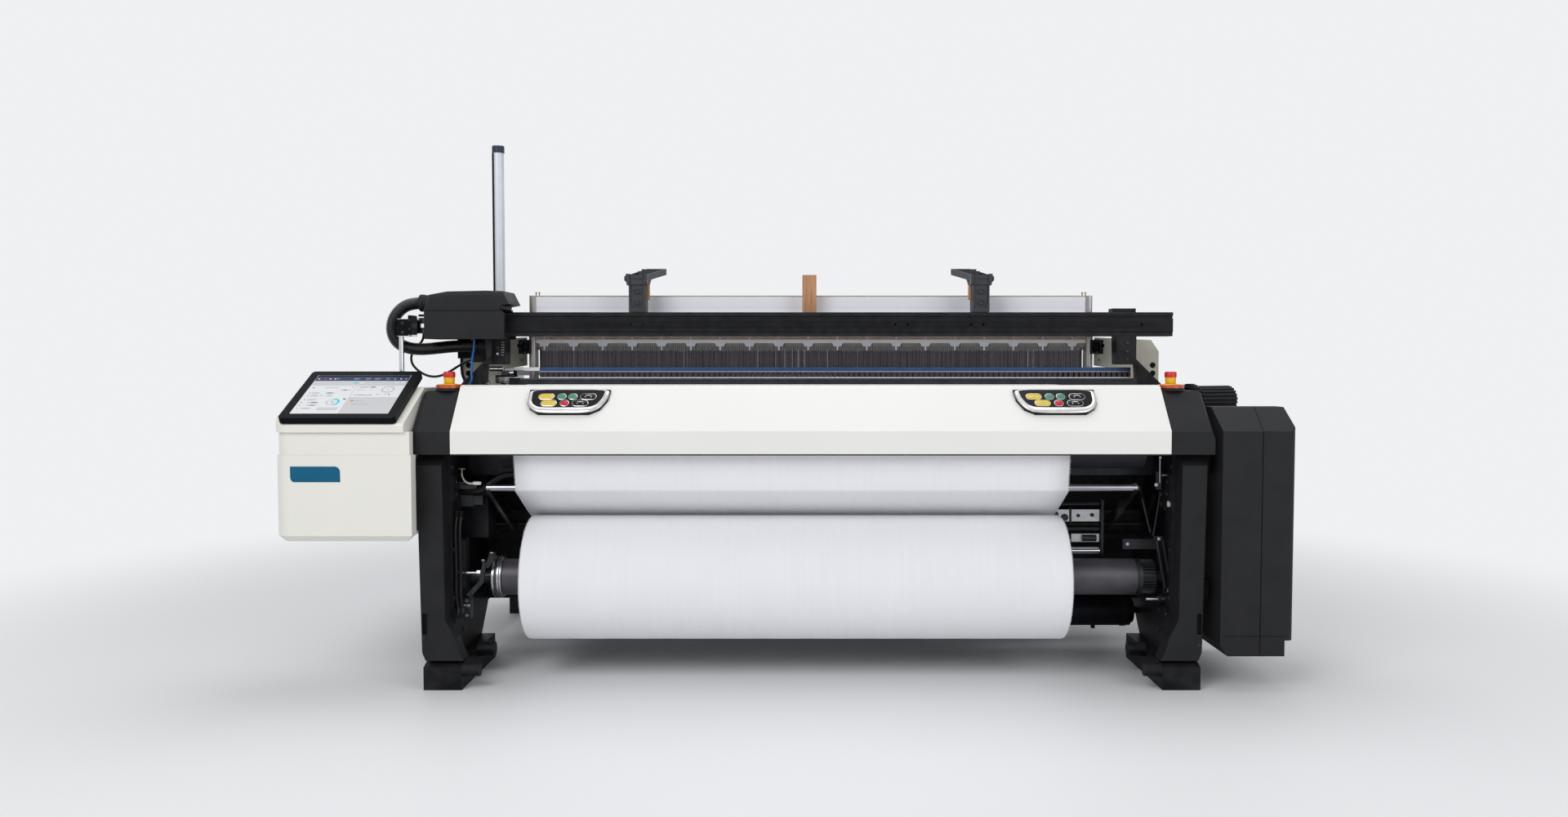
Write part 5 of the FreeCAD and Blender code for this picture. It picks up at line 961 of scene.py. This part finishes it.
def make_left_side():
    lines = (-1241, -1226)
    for number, x in enumerate(lines):
        pipe(f"left_line_{number}", [(x + 2, -672, 585), (x - 1, -684, 560), (x, -688, 500),
                                     (x + 2, -688, 400), (x, -688, 290), (x + 6, -680, 250)],
             6.0, "cable")
    ends = Shape()
    for x in lines:
        for z in range(572, 597, 8):
            ends.lathe([(z, 6.5), (z + 2, 9.5), (z + 5, 9.5), (z + 7, 6.5)], "Z", (x, -672, 0), 20)
        ends.lathe([(246, 9), (262, 9)], "Z", (x + 5, -680, 0), 16, 1)
    ends.piece("left_line_ends", "cable dark_steel", "cable", sharp=50)
    levers = Shape()
    # clamp block and let-off lever, and the lower block
    levers.boxes([(-1241, -1196, -622, -585, 612, 652), (-1195, -1162, -622, -590, 618, 650),
                  (-1243, -1176, -646, -600, 676, 692), (-1231, -1206, -640, -600, 213, 292)])
    # T-handle, rod with its nut, the levers' pins and the lower shaft
    levers.lathe([(724, 3), (747, 3)], "Z", (-1229, -640, 0), 16, 1)
    levers.rods([(-1240, -1218, -640, 747, 3.4, 16), (-1249, -1160, -655, 382, 6, 20),
                 (-1176, -1163, -655, 382, 11, 6), (-1154, -1143, -678.5, 431, 1.8, 12),
                 (-1124, -1114, -674.5, 456, 1.8, 12), (-1249, -1206, -640, 262, 9, 20)], 1)
    levers.rods([(-1249, -1238, -640, 262, 14, 24)])
    # casting in front of the cloth beam's bearing, and the forked lever
    levers.prism([(-660, 500), (-610, 500), (-610, 330), (-640, 305), (-660, 330)], "X", -1249.5,
                 -1215)
    levers.plates(-672, -660, [[(-1150, 432), (-1140, 424), (-1150, 350), (-1196, 300),
                                (-1212, 306), (-1166, 356)]])
    levers.plates(-668, -658, [[(-1128, 456), (-1108, 456), (-1108, 440), (-1134, 400),
                                (-1146, 404)]])
    levers.bolts([(-1236, -660, 388), (-1218, -640, 228), (-1218, -640, 280)], 6, 4, 1)
    levers.bolts([(-1148, -672, 424), (-1118, -668, 449), (-1200, -672, 310)], 7, 5)
    levers.piece("left_levers", "dark_steel steel", "dark_steel", bevel=0.8)
    # bent suction duct from the frame to under the cloth, and the thin grey line over it
    pipe("suction_duct", [(-1249, -620, 672), (-1200, -640, 664), (-1158, -650, 672),
                          (-1120, -655, 704), (-1080, -655, 727), (-1040, -652, 730),
                          (-960, -650, 730)], 11, "cable")
    pipe("grey_line", [(-1228, -648, 733), (-1222, -660, 716), (-1206, -664, 700),
                       (-1190, -664, 697), (-1182, -664, 698)], 3.2, "beige")
    fitting = Shape()
    fitting.lathe([(-1184, 5.2), (-1178, 6.4), (-1160, 6.4), (-1156, 4.5)], "X", (0, -664, 699),
                  20)
    fitting.rods([(-1249, -1156, -652, 699, 5, 16)], 1)
    fitting.piece("line_fitting", "rail_white dark_steel", "steel")


make_left_side()


def make_right_side():
    """Slotted link, stay rods and handle inside the right frame, and the rods behind."""
    parts = Shape()
    # the slotted link leans across the frame's face: two cheeks and its ends
    parts.plates(-664, -650, [[(1203, 510), (1209, 510), (1246, 318), (1240, 318)],
                              [(1225, 510), (1231, 510), (1268, 318), (1262, 318)],
                              [(1200, 512), (1230, 512), (1231, 496), (1203, 496)],
                              [(1236, 330), (1266, 330), (1268, 312), (1239, 312)]])
    parts.bolts([(1215, -664, 504), (1253, -664, 321)], 6, 5, 1)
    # fine stays over the casting
    parts.plates(-650, -644, [[(1158, 645), (1162, 645), (1192, 524), (1188, 524)],
                              [(1222, 668), (1226, 668), (1203, 512), (1199, 512)]])
    # lower cross rod and its nuts, and the T-handle
    parts.rods([(1180, 1249.5, -640, 286, 7, 20), (1226, 1249.5, -660, 727, 3.6, 16)], 1)
    parts.rods([(1222, 1236, -640, 286, 13, 6), (1240, 1249.5, -640, 286, 11, 6)])
    parts.lathe([(700, 3), (790, 3)], "Z", (1218, -660, 0), 16, 1)
    parts.bolts([(1218, -660, 789)], 5, 4, 1)
    parts.bolts([(1206, -656, 693), (1135, -560, 469)], 7, 5, 1)
    parts.boxes([(1208, 1226, -655, -636, 676, 738), (1120, 1249.8, -560, -540, 450, 486)])
    parts.lathe([(1249.6, 11), (1244, 11), (1243, 9)], "X", (0, -670, 627), 24, 2)
    parts.piece("right_levers", "dark_steel steel beige", "dark_steel", bevel=0.8)
    # the bright drive rods that show behind the guide frame
    behind = Shape()
    behind.rods([(860, 1070, -440, 597, 5, 20), (860, 1070, -440, 505, 6, 20),
                 (1000, 1050, -452, 473, 12, 24)], 1)
    behind.rods([(955, 1064, -450, 426, 8, 24)])
    behind.boxes([(880, 1064, -446, -436, 534, 578), (960, 1064, -446, -430, 458, 488),
                  (935, 1064, -446, -430, 414, 438)], 2)
    behind.boxes([(864, 876, -460, -425, 414, 612), (1066, 1076, -460, -425, 414, 612),
                  (952, 960, -449, -436, 530, 582)], 1)
    for x, z, radius in ((903, 562, 9), (935, 549, 13), (985, 556, 6), (1036, 558, 7)):
        behind.bolts([(x, -446.2, z)], radius, 7, 1)
    behind.piece("rear_rods", "chrome dark_steel steel", "steel", bevel=0.8)


make_right_side()


# ---- cloth beam: flange, collars, bare core and bearing ring; guide bar ends ----

beam = Shape()
for look, sides, *profile in (
        (0, 48, (-1118.5, 70.3), (-1117, 69), (-1115.5, 70.3)),
        (0, 48, (-1106.5, 70.3), (-1105, 69), (-1103.5, 70.3)),
        (0, 64, (-1128.6, 56), (-1128.6, 74.4), (-1127.6, 75.4), (-1120, 75.4), (-1118.8, 70)),
        (0, 64, (-1111.2, 69), (-1111.2, 74.6), (-1110.4, 75.4), (-1103.6, 75.4), (-1102.6, 71),
         (-1096.6, 70.4), (-1095, 64.2)),
        (2, 64, (-1094.8, 63.9), (-1003, 63.9)),
        (2, 64, (893, 63.9), (1150, 63.9), (1156, 62)),
        (1, 48, (1157.4, 63.8), (1157.4, 66), (1171, 66), (1172.6, 60), (1172.6, 56))):
    beam.lathe(profile, "X", (0, ROLL_Y, ROLL_Z), sides, look)
beam.piece("cloth_beam_collars", "steel dark_steel core_grey", "steel", "cloth_winding")

guide = Shape()
for sign in (-1, 1):
    guide.lathe([(sign * x, radius) for x, radius in (
        (1118.2, 12.4), (1123, 12.0), (1129, 8.6), (1131, 4.0))], "X", (0, -730, 690), 24)
guide.rods([(-1249.5, 1249.5, -350, 496, 18.5, 32)])
guide.piece("guide_bar_ends", "frame_paint", "frame_paint")


# ---- upper beam's brackets, and screws on the beam and its stands ----

def make_bracket(side, outer, inward):
    """A bracket on the beam; s runs from its outer face towards the middle of the machine."""
    body = Shape()

    def turned(s, y, z):
        return at(outer + inward * s, y, z)

    # the body, with raised edges round its panel, whose lower outer corner is cut off
    body.box(0, 61, -468, -405, 1303, 1402, 0, turned)
    body.plates(-474, -468, [[(0, 1303), (61, 1303), (61, 1317), (0, 1317)],
                             [(0, 1317), (14, 1317), (6, 1336), (6, 1402), (0, 1402)],
                             [(54, 1317), (61, 1317), (61, 1402), (54, 1402)]], 0, turned)
    for z in (1337, 1377):
        ring_between(body, capsule(31, z, 13, 8), capsule(31, z, 16, 11),
                     (-468, -472, -471, -468), lambda s, z, y: turned(s, y, z))
        body.bolts([(31, -468, z)], 7, 3.4, turn=turned)
    # head: a sunk face between two ears, and a knob on the outer one
    body.boxes([(-4, 66, -474, -430, 1402, 1436), (8, 54, -478, -474, 1424, 1438),
                (-10, 4, -480, -436, 1410, 1441), (-7, 3, -479, -440, 1400, 1410),
                (56, 68, -480, -436, 1404, 1441)], 0, turned)
    body.lathe([(-17, 7), (-16, 9.5), (-10, 10.5), (-4, 10.5)], "X", (0, -462, 1425), 24,
               turn=turned)
    body.bolts([(62, -480, 1426), (62, -480, 1411)], 3.4, 1.6, turn=turned)
    # channel arm that rises to the back and leans towards the middle: two cheeks and a floor
    for near, far, height in (((4, 1420), (38, 1452), 22), ((62, 1418), (110, 1452), 23)):
        body.loft([[turned(s + shift, y, z + rise) for shift, rise in (
            (-2.5, 0), (2.5, 0), (2.5, height), (-2.5, height))]
            for y, (s, z) in ((-440, near), (-250, far))])
    body.loft([[turned(s, y, z + rise) for s, y, z in (
        (6, -440, 1419), (60, -440, 1419), (108, -250, 1453), (40, -250, 1453))]
        for rise in (0, 4)])
    body.boxes([(38, 112, -254, -249, 1453, 1475), (20, 76, -372, -366, 1431, 1458),
                (32, 52, -362, -340, 1442, 1466), (28, 44, -410, -392, 1430, 1452)], 0, turned)
    # gusset under the arm
    body.prism([(-405, 1402), (-405, 1418), (-330, 1434), (-345, 1424), (-372, 1412), (-392, 1396),
                (-405, 1380)], "X", 56, 66, 0, turned)
    obj = body.piece(side + "_bracket", "bracket_grey", "frame_paint", bevel=0.8)
    wood = Shape()
    wood.box(61, 69, -432, -405, 1350, 1404, 0, turned)
    wood.piece(side + "_bracket_wood", "wood", "wood", bevel=0.8)
    return obj


brackets = [make_bracket("left", -663, 1), make_bracket("right", 648, -1)]
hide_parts("beam_brackets")

screws = Shape()
screws.bolts([(x, -473.8, 1257) for x in (-660, -616, -378, -334, 322, 362, 602, 643)]
             + [(1171, -473.8, 1247), (1213, -473.8, 1269), (1255, -473.8, 1245)], 4.3, 2)
screws.piece("beam_screws", "dark_steel", "dark_steel")

stand = Shape()
stand.bolts([(x - row * 0.4, -476.2, 1192 - row * 9) for row in range(6) for x in (-1124, -1118)],
            1.7, 1.2)
for x, z in ((-1150, 1190), (-1140, 1172)):
    stand.lathe([(-476.4, 7.5), (-479, 7.5), (-479, 5), (-477, 5)], "Y", (x, 0, z), 20, 1)
stand.bolts([(-1141, -476.2, 1151)], 5, 4)
stand.bolts([(1150, -476.2, z) for z in (1190, 1160, 1130)], 6, 4, 1)
stand.bolts([(x, -476.2, 1010) for x in (-1150, -1200, 1150, 1200)], 8, 6, 1)
stand.piece("stand_screws", "steel dark_steel", "steel")


# ---- signal post: seam strip and cap ----

post = Shape()
post.box(-1213.4, -1207.5, -245.2, -238, 1012, 1915)
post.lathe([(1916.6, 23.3), (1942.7, 23.3)], "Z", (-1194, -226, 0), 40, 1)
post.piece("post_strip", "display_black cap_blue", "frame_paint")


# ---- weft feeder: seam, dark strip and what hangs under it ----

def make_feeder_details():
    # seam round the cover and the dark strip at its right edge
    cover = Shape()
    cover.boxes([(-1378, -1106, -560.8, -559.6, 1304, 1306.2),
                 (-1101, -1085, -500, -470, 1302.2, 1309)], 1)
    cover.piece("feeder_seam", "cover_black display_black", "cover_black")
    # boxes and rails under the cover, behind the hose
    under = Shape()
    under.box(-1306, -1262, -408, -376, 1134, 1212)
    under.box(-1250, -1196, -415, -380, 1120, 1212, 2)
    under.plates(-512, -500, [[(-1178, 1212), (-1150, 1212), (-1156, 1140), (-1172, 1128)]], 2)
    under.plates(-470, -452, [[(-1200, 1212), (-1182, 1212), (-1184, 1120), (-1196, 1112)]])
    under.bolts([(-1296, -536.2, 1207), (-1238, -536.2, 1207)], 3, 2, 1)
    under.piece("feeder_underparts", "display_black steel cover_black", "cover_black", bevel=0.8)
    # cuffs at both ends of the hose, and the clamp's socket and screws
    cuffs = Shape()
    cuffs.lathe([(-1427, 27), (-1427, 30.5), (-1423, 31.5), (-1412, 31.5), (-1409, 29.6)], "X",
                (0, HOSE_Y, 1336), 36)
    cuffs.lathe([(-1212, 23.4), (-1212, 27.5), (-1183.5, 27.5), (-1183.5, 23.4)], "X",
                (0, HOSE_Y, HOSE_Z), 36)
    cuffs.piece("hose_cuffs", "cover_black", "cover_black")
    clamp = Shape()
    clamp.bolts([(-1477, -500.2, 1228), (-1477, -500.2, 1262)], 6, 4, 1)
    clamp.boxes([(-1496, -1458, -503.5, -500.3, 1216, 1276),
                 (-1455, -1444, -508, -440, 1220, 1290),
                 (-1444, -1400, -424, -412.5, 1288, 1296)])
    clamp.bolts([(-1449, -508.2, 1240), (-1449, -508.2, 1272)], 4, 3, 1)
    clamp.piece("clamp_trim", "display_black dark_steel", "frame_paint", bevel=0.8)


make_feeder_details()


# ---- shed: heald frames, reed and sley ----

FRAME_Y = (-330.5, -316.5, -302.5, -288.5)


def make_healds(number):
    """Fine healds, their hangers and the rail's edges on one frame, at rest."""
    y, shift, body = FRAME_Y[number], SHED[number], f"harness_{number + 1}"
    low, high, front, count = 878 + shift, 1201 + shift, y - 4.9, 760
    rng = random.Random(20 + number)
    wires = Shape()
    for i in range(count):
        x = -1012 + 2024 * (i + 0.5) / count + rng.uniform(-0.8, 0.8)
        half = rng.uniform(0.6, 1.2) * (1.4 if number > 1 else 1)
        depth = 0.5 + rng.uniform(0, 0.4)
        wires.box(x - half, x + half, y - depth, y + depth, low, high)
        # the loop of the heald over its bar
        if number % 2 == 0 and i % 2 == 0:
            wires.box(x - 0.7, x + 0.7, y - 2.4, y - 1.6, high - rng.uniform(3, 7), high + 13, 1)
    wires.piece(f"healds_{number + 1}", "heald_wire ui_grey", "steel", body)
    rails = Shape()

    def lifted(x, y, z):
        return at(x, y, z + shift)

    for z0, z1, look in ((1239.5, 1250, 1), (1291, 1292.5, 0), (1331.5, 1334.5, 1)):
        rails.box(-1034, 1034, front - 0.6, front, z0, z1, look, lifted)
    for x in (-1046.5, 1046.5):
        rails.prism([(x - 11 * math.cos(t * math.pi / 8), front - 3.2 * math.sin(t * math.pi / 8))
                     for t in range(9)], "Z", 746, 1334, 2, lifted)
    # a pale bar under the rail of the first frame, and a strip behind it
    if number == 0:
        rails.box(-1032, 1032, y - 4.4, y - 2.4, 1226.5, 1239, 0, lifted)
        rails.box(-1032, 1032, y + 2.4, y + 3.4, 1213.4, 1238.8, 3, lifted)
    # trapezoid hangers, their stems and the joints of the rail above them
    for i in range(19):
        x = -1004 + 1984 * i / 18
        rails.plates(y - 3.6, y - 1.7, [[(x - 19, 1228), (x + 23, 1228), (x + 16, 1214),
                                         (x - 12, 1214)]], 0, lifted)
        rails.boxes([(x - 1, x + 5, y - 3.4, y - 1.7, 1200, 1216),
                     (x + 1, x + 3, front - 1.2, front - 0.4, 1239, 1250)], 0, lifted)
    # a pair of small pins on each end of the second frame's rail
    if number == 1:
        for x in (-1034, -1022, 1022, 1034):
            rails.lathe([(1334.5, 2.5), (1343, 2.5), (1344, 3.6), (1348, 3.6)], "Z", (x, y, 0),
                        12, 1, lifted)
    rails.piece(f"heald_trim_{number + 1}", "rail_white rail_brown beam_end hanger_back",
                "aluminium", body)


for number in range(4):
    make_healds(number)


def make_reed():
    """Blue cap, bands and ends on the reed, and what sits on the sley that carries it."""
    cap = Shape()
    cap.box(-1002, 1180, -415.6, -404.4, 1087.5, 1101.3)
    cap.plates(-415.6, -404.4, [[(-1002, 1101.3), (-1002, 1087.5), (-1058, 1088), (-1069, 1093),
                                 (-1066, 1099), (-1056, 1101.3)]], 1)
    cap.piece("reed_cap", "reed_blue rail_white", "reed_blue", "sley_unit", bevel=1.2)
    bands = Shape()
    for front, z0, z1, look in ((-416.0, 1084.4, 1087.4, 2), (-416.6, 1059.5, 1065, 0),
                                (-416.2, 1055.5, 1059.5, 1), (-416.2, 997.2, 1008, 1)):
        bands.box(-1002, 1180, front, -415.1, z0, z1, look)
    bands.box(905, 1176, -404.6, -403.8, 1010, 1086, 1)
    bands.piece("reed_bands", "rail_white display_black reed_edge", "aluminium", "sley_unit")
    sley = Shape()
    sley.bolts([(x, -427.2, 976) for x in range(-1080, 1161, 160)], 7, 5, 1)
    sley.box(-1110.4, -1069.6, -436.6, -403.6, 1022, 1062.4)
    sley.bolts([(-1090, -436.2, 985), (-1090, -436.2, 1012)], 6, 2.2, 1)
    for profile in ([(-1146, 3.5), (-1140.2, 6), (-1136, 8), (-1128, 8), (-1124, 6.2)],
                    [(-1030, 6.2), (-1026, 8), (-1022.4, 8)]):
        sley.lathe(profile, "X", (0, -424, 1046), 20, 1)
    sley.piece("sley_fittings", "dark_steel steel", "dark_steel", "sley_unit", bevel=0.5)


make_reed()


def make_ends():
    """What stands beside the shed: knobs, cutter block, side plate trim and air lines."""
    looks = "display_black steel beige dark_steel rail_white"
    parts = Shape()
    # black knob and its bracket before the harness guides
    for x, x0, x1 in ((-1072, -1098, -1052), (1072, 1052, 1098)):
        parts.lathe([(1160, 14), (1166, 17), (1192, 17), (1198, 13)], "Z", (x, -346, 0), 24)
        parts.lathe([(1150, 6), (1206, 6)], "Z", (x, -346, 0), 16, 3)
        parts.box(x0, x1, -356, -338, 1176, 1188)
    # cutter block and fittings between the stand and the reed's end
    parts.box(-1150, -1076, -476, -446, 1067, 1073)
    parts.boxes([(-1150, -1142, -476, -446, 1043, 1067), (-1128, -1104, -479, -447, 1073, 1090)],
                3)
    parts.rods([(-1104, -1086, -462, 1081, 7, 20)], 1)
    parts.rods([(-1086, -1076, -462, 1082, 9, 20)])
    parts.bolts([(-1116, -463, 1090)], 5, 4, 1, "Z", 1)
    parts.piece("weft_fittings", looks, "dark_steel", bevel=0.8)
    # screws and two black bores of each side plate, and the cable on the left one
    plates = Shape()
    for sign in (-1, 1):
        plates.bolts([(sign * x, -262.2, z) for x, z in (
            (1105, 1196), (1105, 1130), (1190, 1196), (1316, 1000))], 5, 4, 1)
        for z in (1108, 1077):
            plates.lathe([(-260.5, 10.9), (-257, 10.9)], "Y", (sign * 1307.5, 0, z), 32)
    pipe("plate_cable", [(x, -268, z) for x, z in (
        (-1318, 1214), (-1329, 1196), (-1332, 1160), (-1333, 1110), (-1331, 1072), (-1322, 1052),
        (-1306, 1042), (-1290, 1030))], 5, "cable")
    plates.piece("plate_bolts", looks, "steel")
    tubes = Shape()
    tubes.rods([(-1180, -1130, -440, 1096, 9, 20), (-1250, -1186, -420, 1040, 14, 24)], 1)
    tubes.rods([(-1262, -1250, -420, 1040, 18, 24)], 4)
    tubes.box(-1250, -1190, -400, -360, 986, 1020, 3)
    tubes.piece("air_manifold", looks, "steel", bevel=0.8)


make_ends()


# ---- warp: sheet, threads through reed and healds, yarn on the beam ----

WARP_END = -262
YARN_RADIUS = 330
warp_line = belt_line([(480, 480, YARN_RADIUS + CLEAR), (640, 970, 70 + CLEAR),
                       (WARP_END, FELL_Z, 0)], 12)
warp = strip("warp_web", warp_line, -1030, 900, 8, "yarn", "warp_sheet")
length_of(warp_line) * MM


def make_threads(number):
    """The threads of one heald frame: to the fell in front of it and to the sheet behind."""
    y, eye, half = FRAME_Y[number], 1039.5 + SHED[number], 0.4
    shift, pitch, gaps = -2.1 + 1.4 * number, 2160 / 109, 110
    spots = [x + shift + side for x in (-991 + gap * pitch for gap in range(gaps))
             if -1014 < x < 877 for side in (-0.35, 0.35)]
    # the front threads run from the fell, the rear ones from the heald's eye
    front = [(FELL_Y + (y - FELL_Y) * i / 5, FELL_Z + (eye - FELL_Z) * i / 5) for i in range(6)]
    rear = [(y + (WARP_END - y) * i / 2, eye + (FELL_Z - eye) * i / 2) for i in range(3)]
    for name, line, far in (("front", front, FELL_Y), ("rear", rear, WARP_END)):
        shape = Shape()
        for x in spots:
            shape.loft([[at(x - half, ty, tz - half * 0.6), at(x + half, ty, tz - half * 0.6),
                         at(x, ty, tz + half)] for ty, tz in line])
        made = shape.piece(f"threads_{name}_{number + 1}", "yarn", "yarn", body=None)
        at(0, far, FELL_Z)
        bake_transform(made)


for number in range(4):
    make_threads(number)

yarn = Shape()
rng = random.Random(31)
root, right = YARN_RADIUS + 0.2, 998
profile = [(-1044, root)]
for ridge in range(193):
    x = -1039 + ridge * 10.6
    profile += [(x, root), (x + 3, 331.0 + rng.uniform(0, 0.5)),
                (x + 7, 331.0 + rng.uniform(0, 0.5)), (x + 10, root)]
profile.append((right, root))
yarn.lathe([(x, r) for x, r in profile if x <= right], "X", (0, 480, 480), 72)
yarn.piece("beamed_yarn", "yarn", "yarn", "warp_supply")


# ---- floor, backdrop and light ----

mesh = bpy.data.meshes.new("floor")
mesh.from_pydata([(-14, -9, 0), (14, -9, 0), (14, 12, 0), (-14, 12, 0)], [], [[0, 1, 2, 3]])
mesh.materials.append(LOOKS["floor"])
floor = new_object("floor", mesh)

world = bpy.data.worlds.new("studio")
world.use_nodes = True
bpy.context.scene.world = world
tree = world.node_tree
lit = tree.nodes["Background"]
fill(tree, lit, {"Color": (0.95, 0.97, 1.0, 1), "Strength": 0.42})
seen = node(tree, "Background", {"Color": BACKDROP})
mix = node(tree, "MixShader", {"Fac": seen_directly(tree), 1: lit.outputs["Background"],
                               2: seen.outputs["Background"]})
fill(tree, tree.nodes["World Output"], {"Surface": mix.outputs["Shader"]})

for name, place, aim, power, size in (
        ("key_light", (-2.6, -5.2, 4.2), (0.1, -0.4, 0.7), 150, 3.2),
        ("fill_light", (3.6, -4.4, 2.4), (0.2, -0.3, 0.6), 60, 3.0),
        ("top_light", (0.3, 0.4, 4.6), (0.1, -0.2, 0.8), 80, 3.4)):
    lamp = new_object(name, bpy.data.lights.new(name, "AREA"))
    lamp.data.energy = power
    lamp.data.size = size
    lamp.location = place
    lamp.rotation_euler = (Vector(aim) - Vector(place)).to_track_quat("-Z", "Y").to_euler()
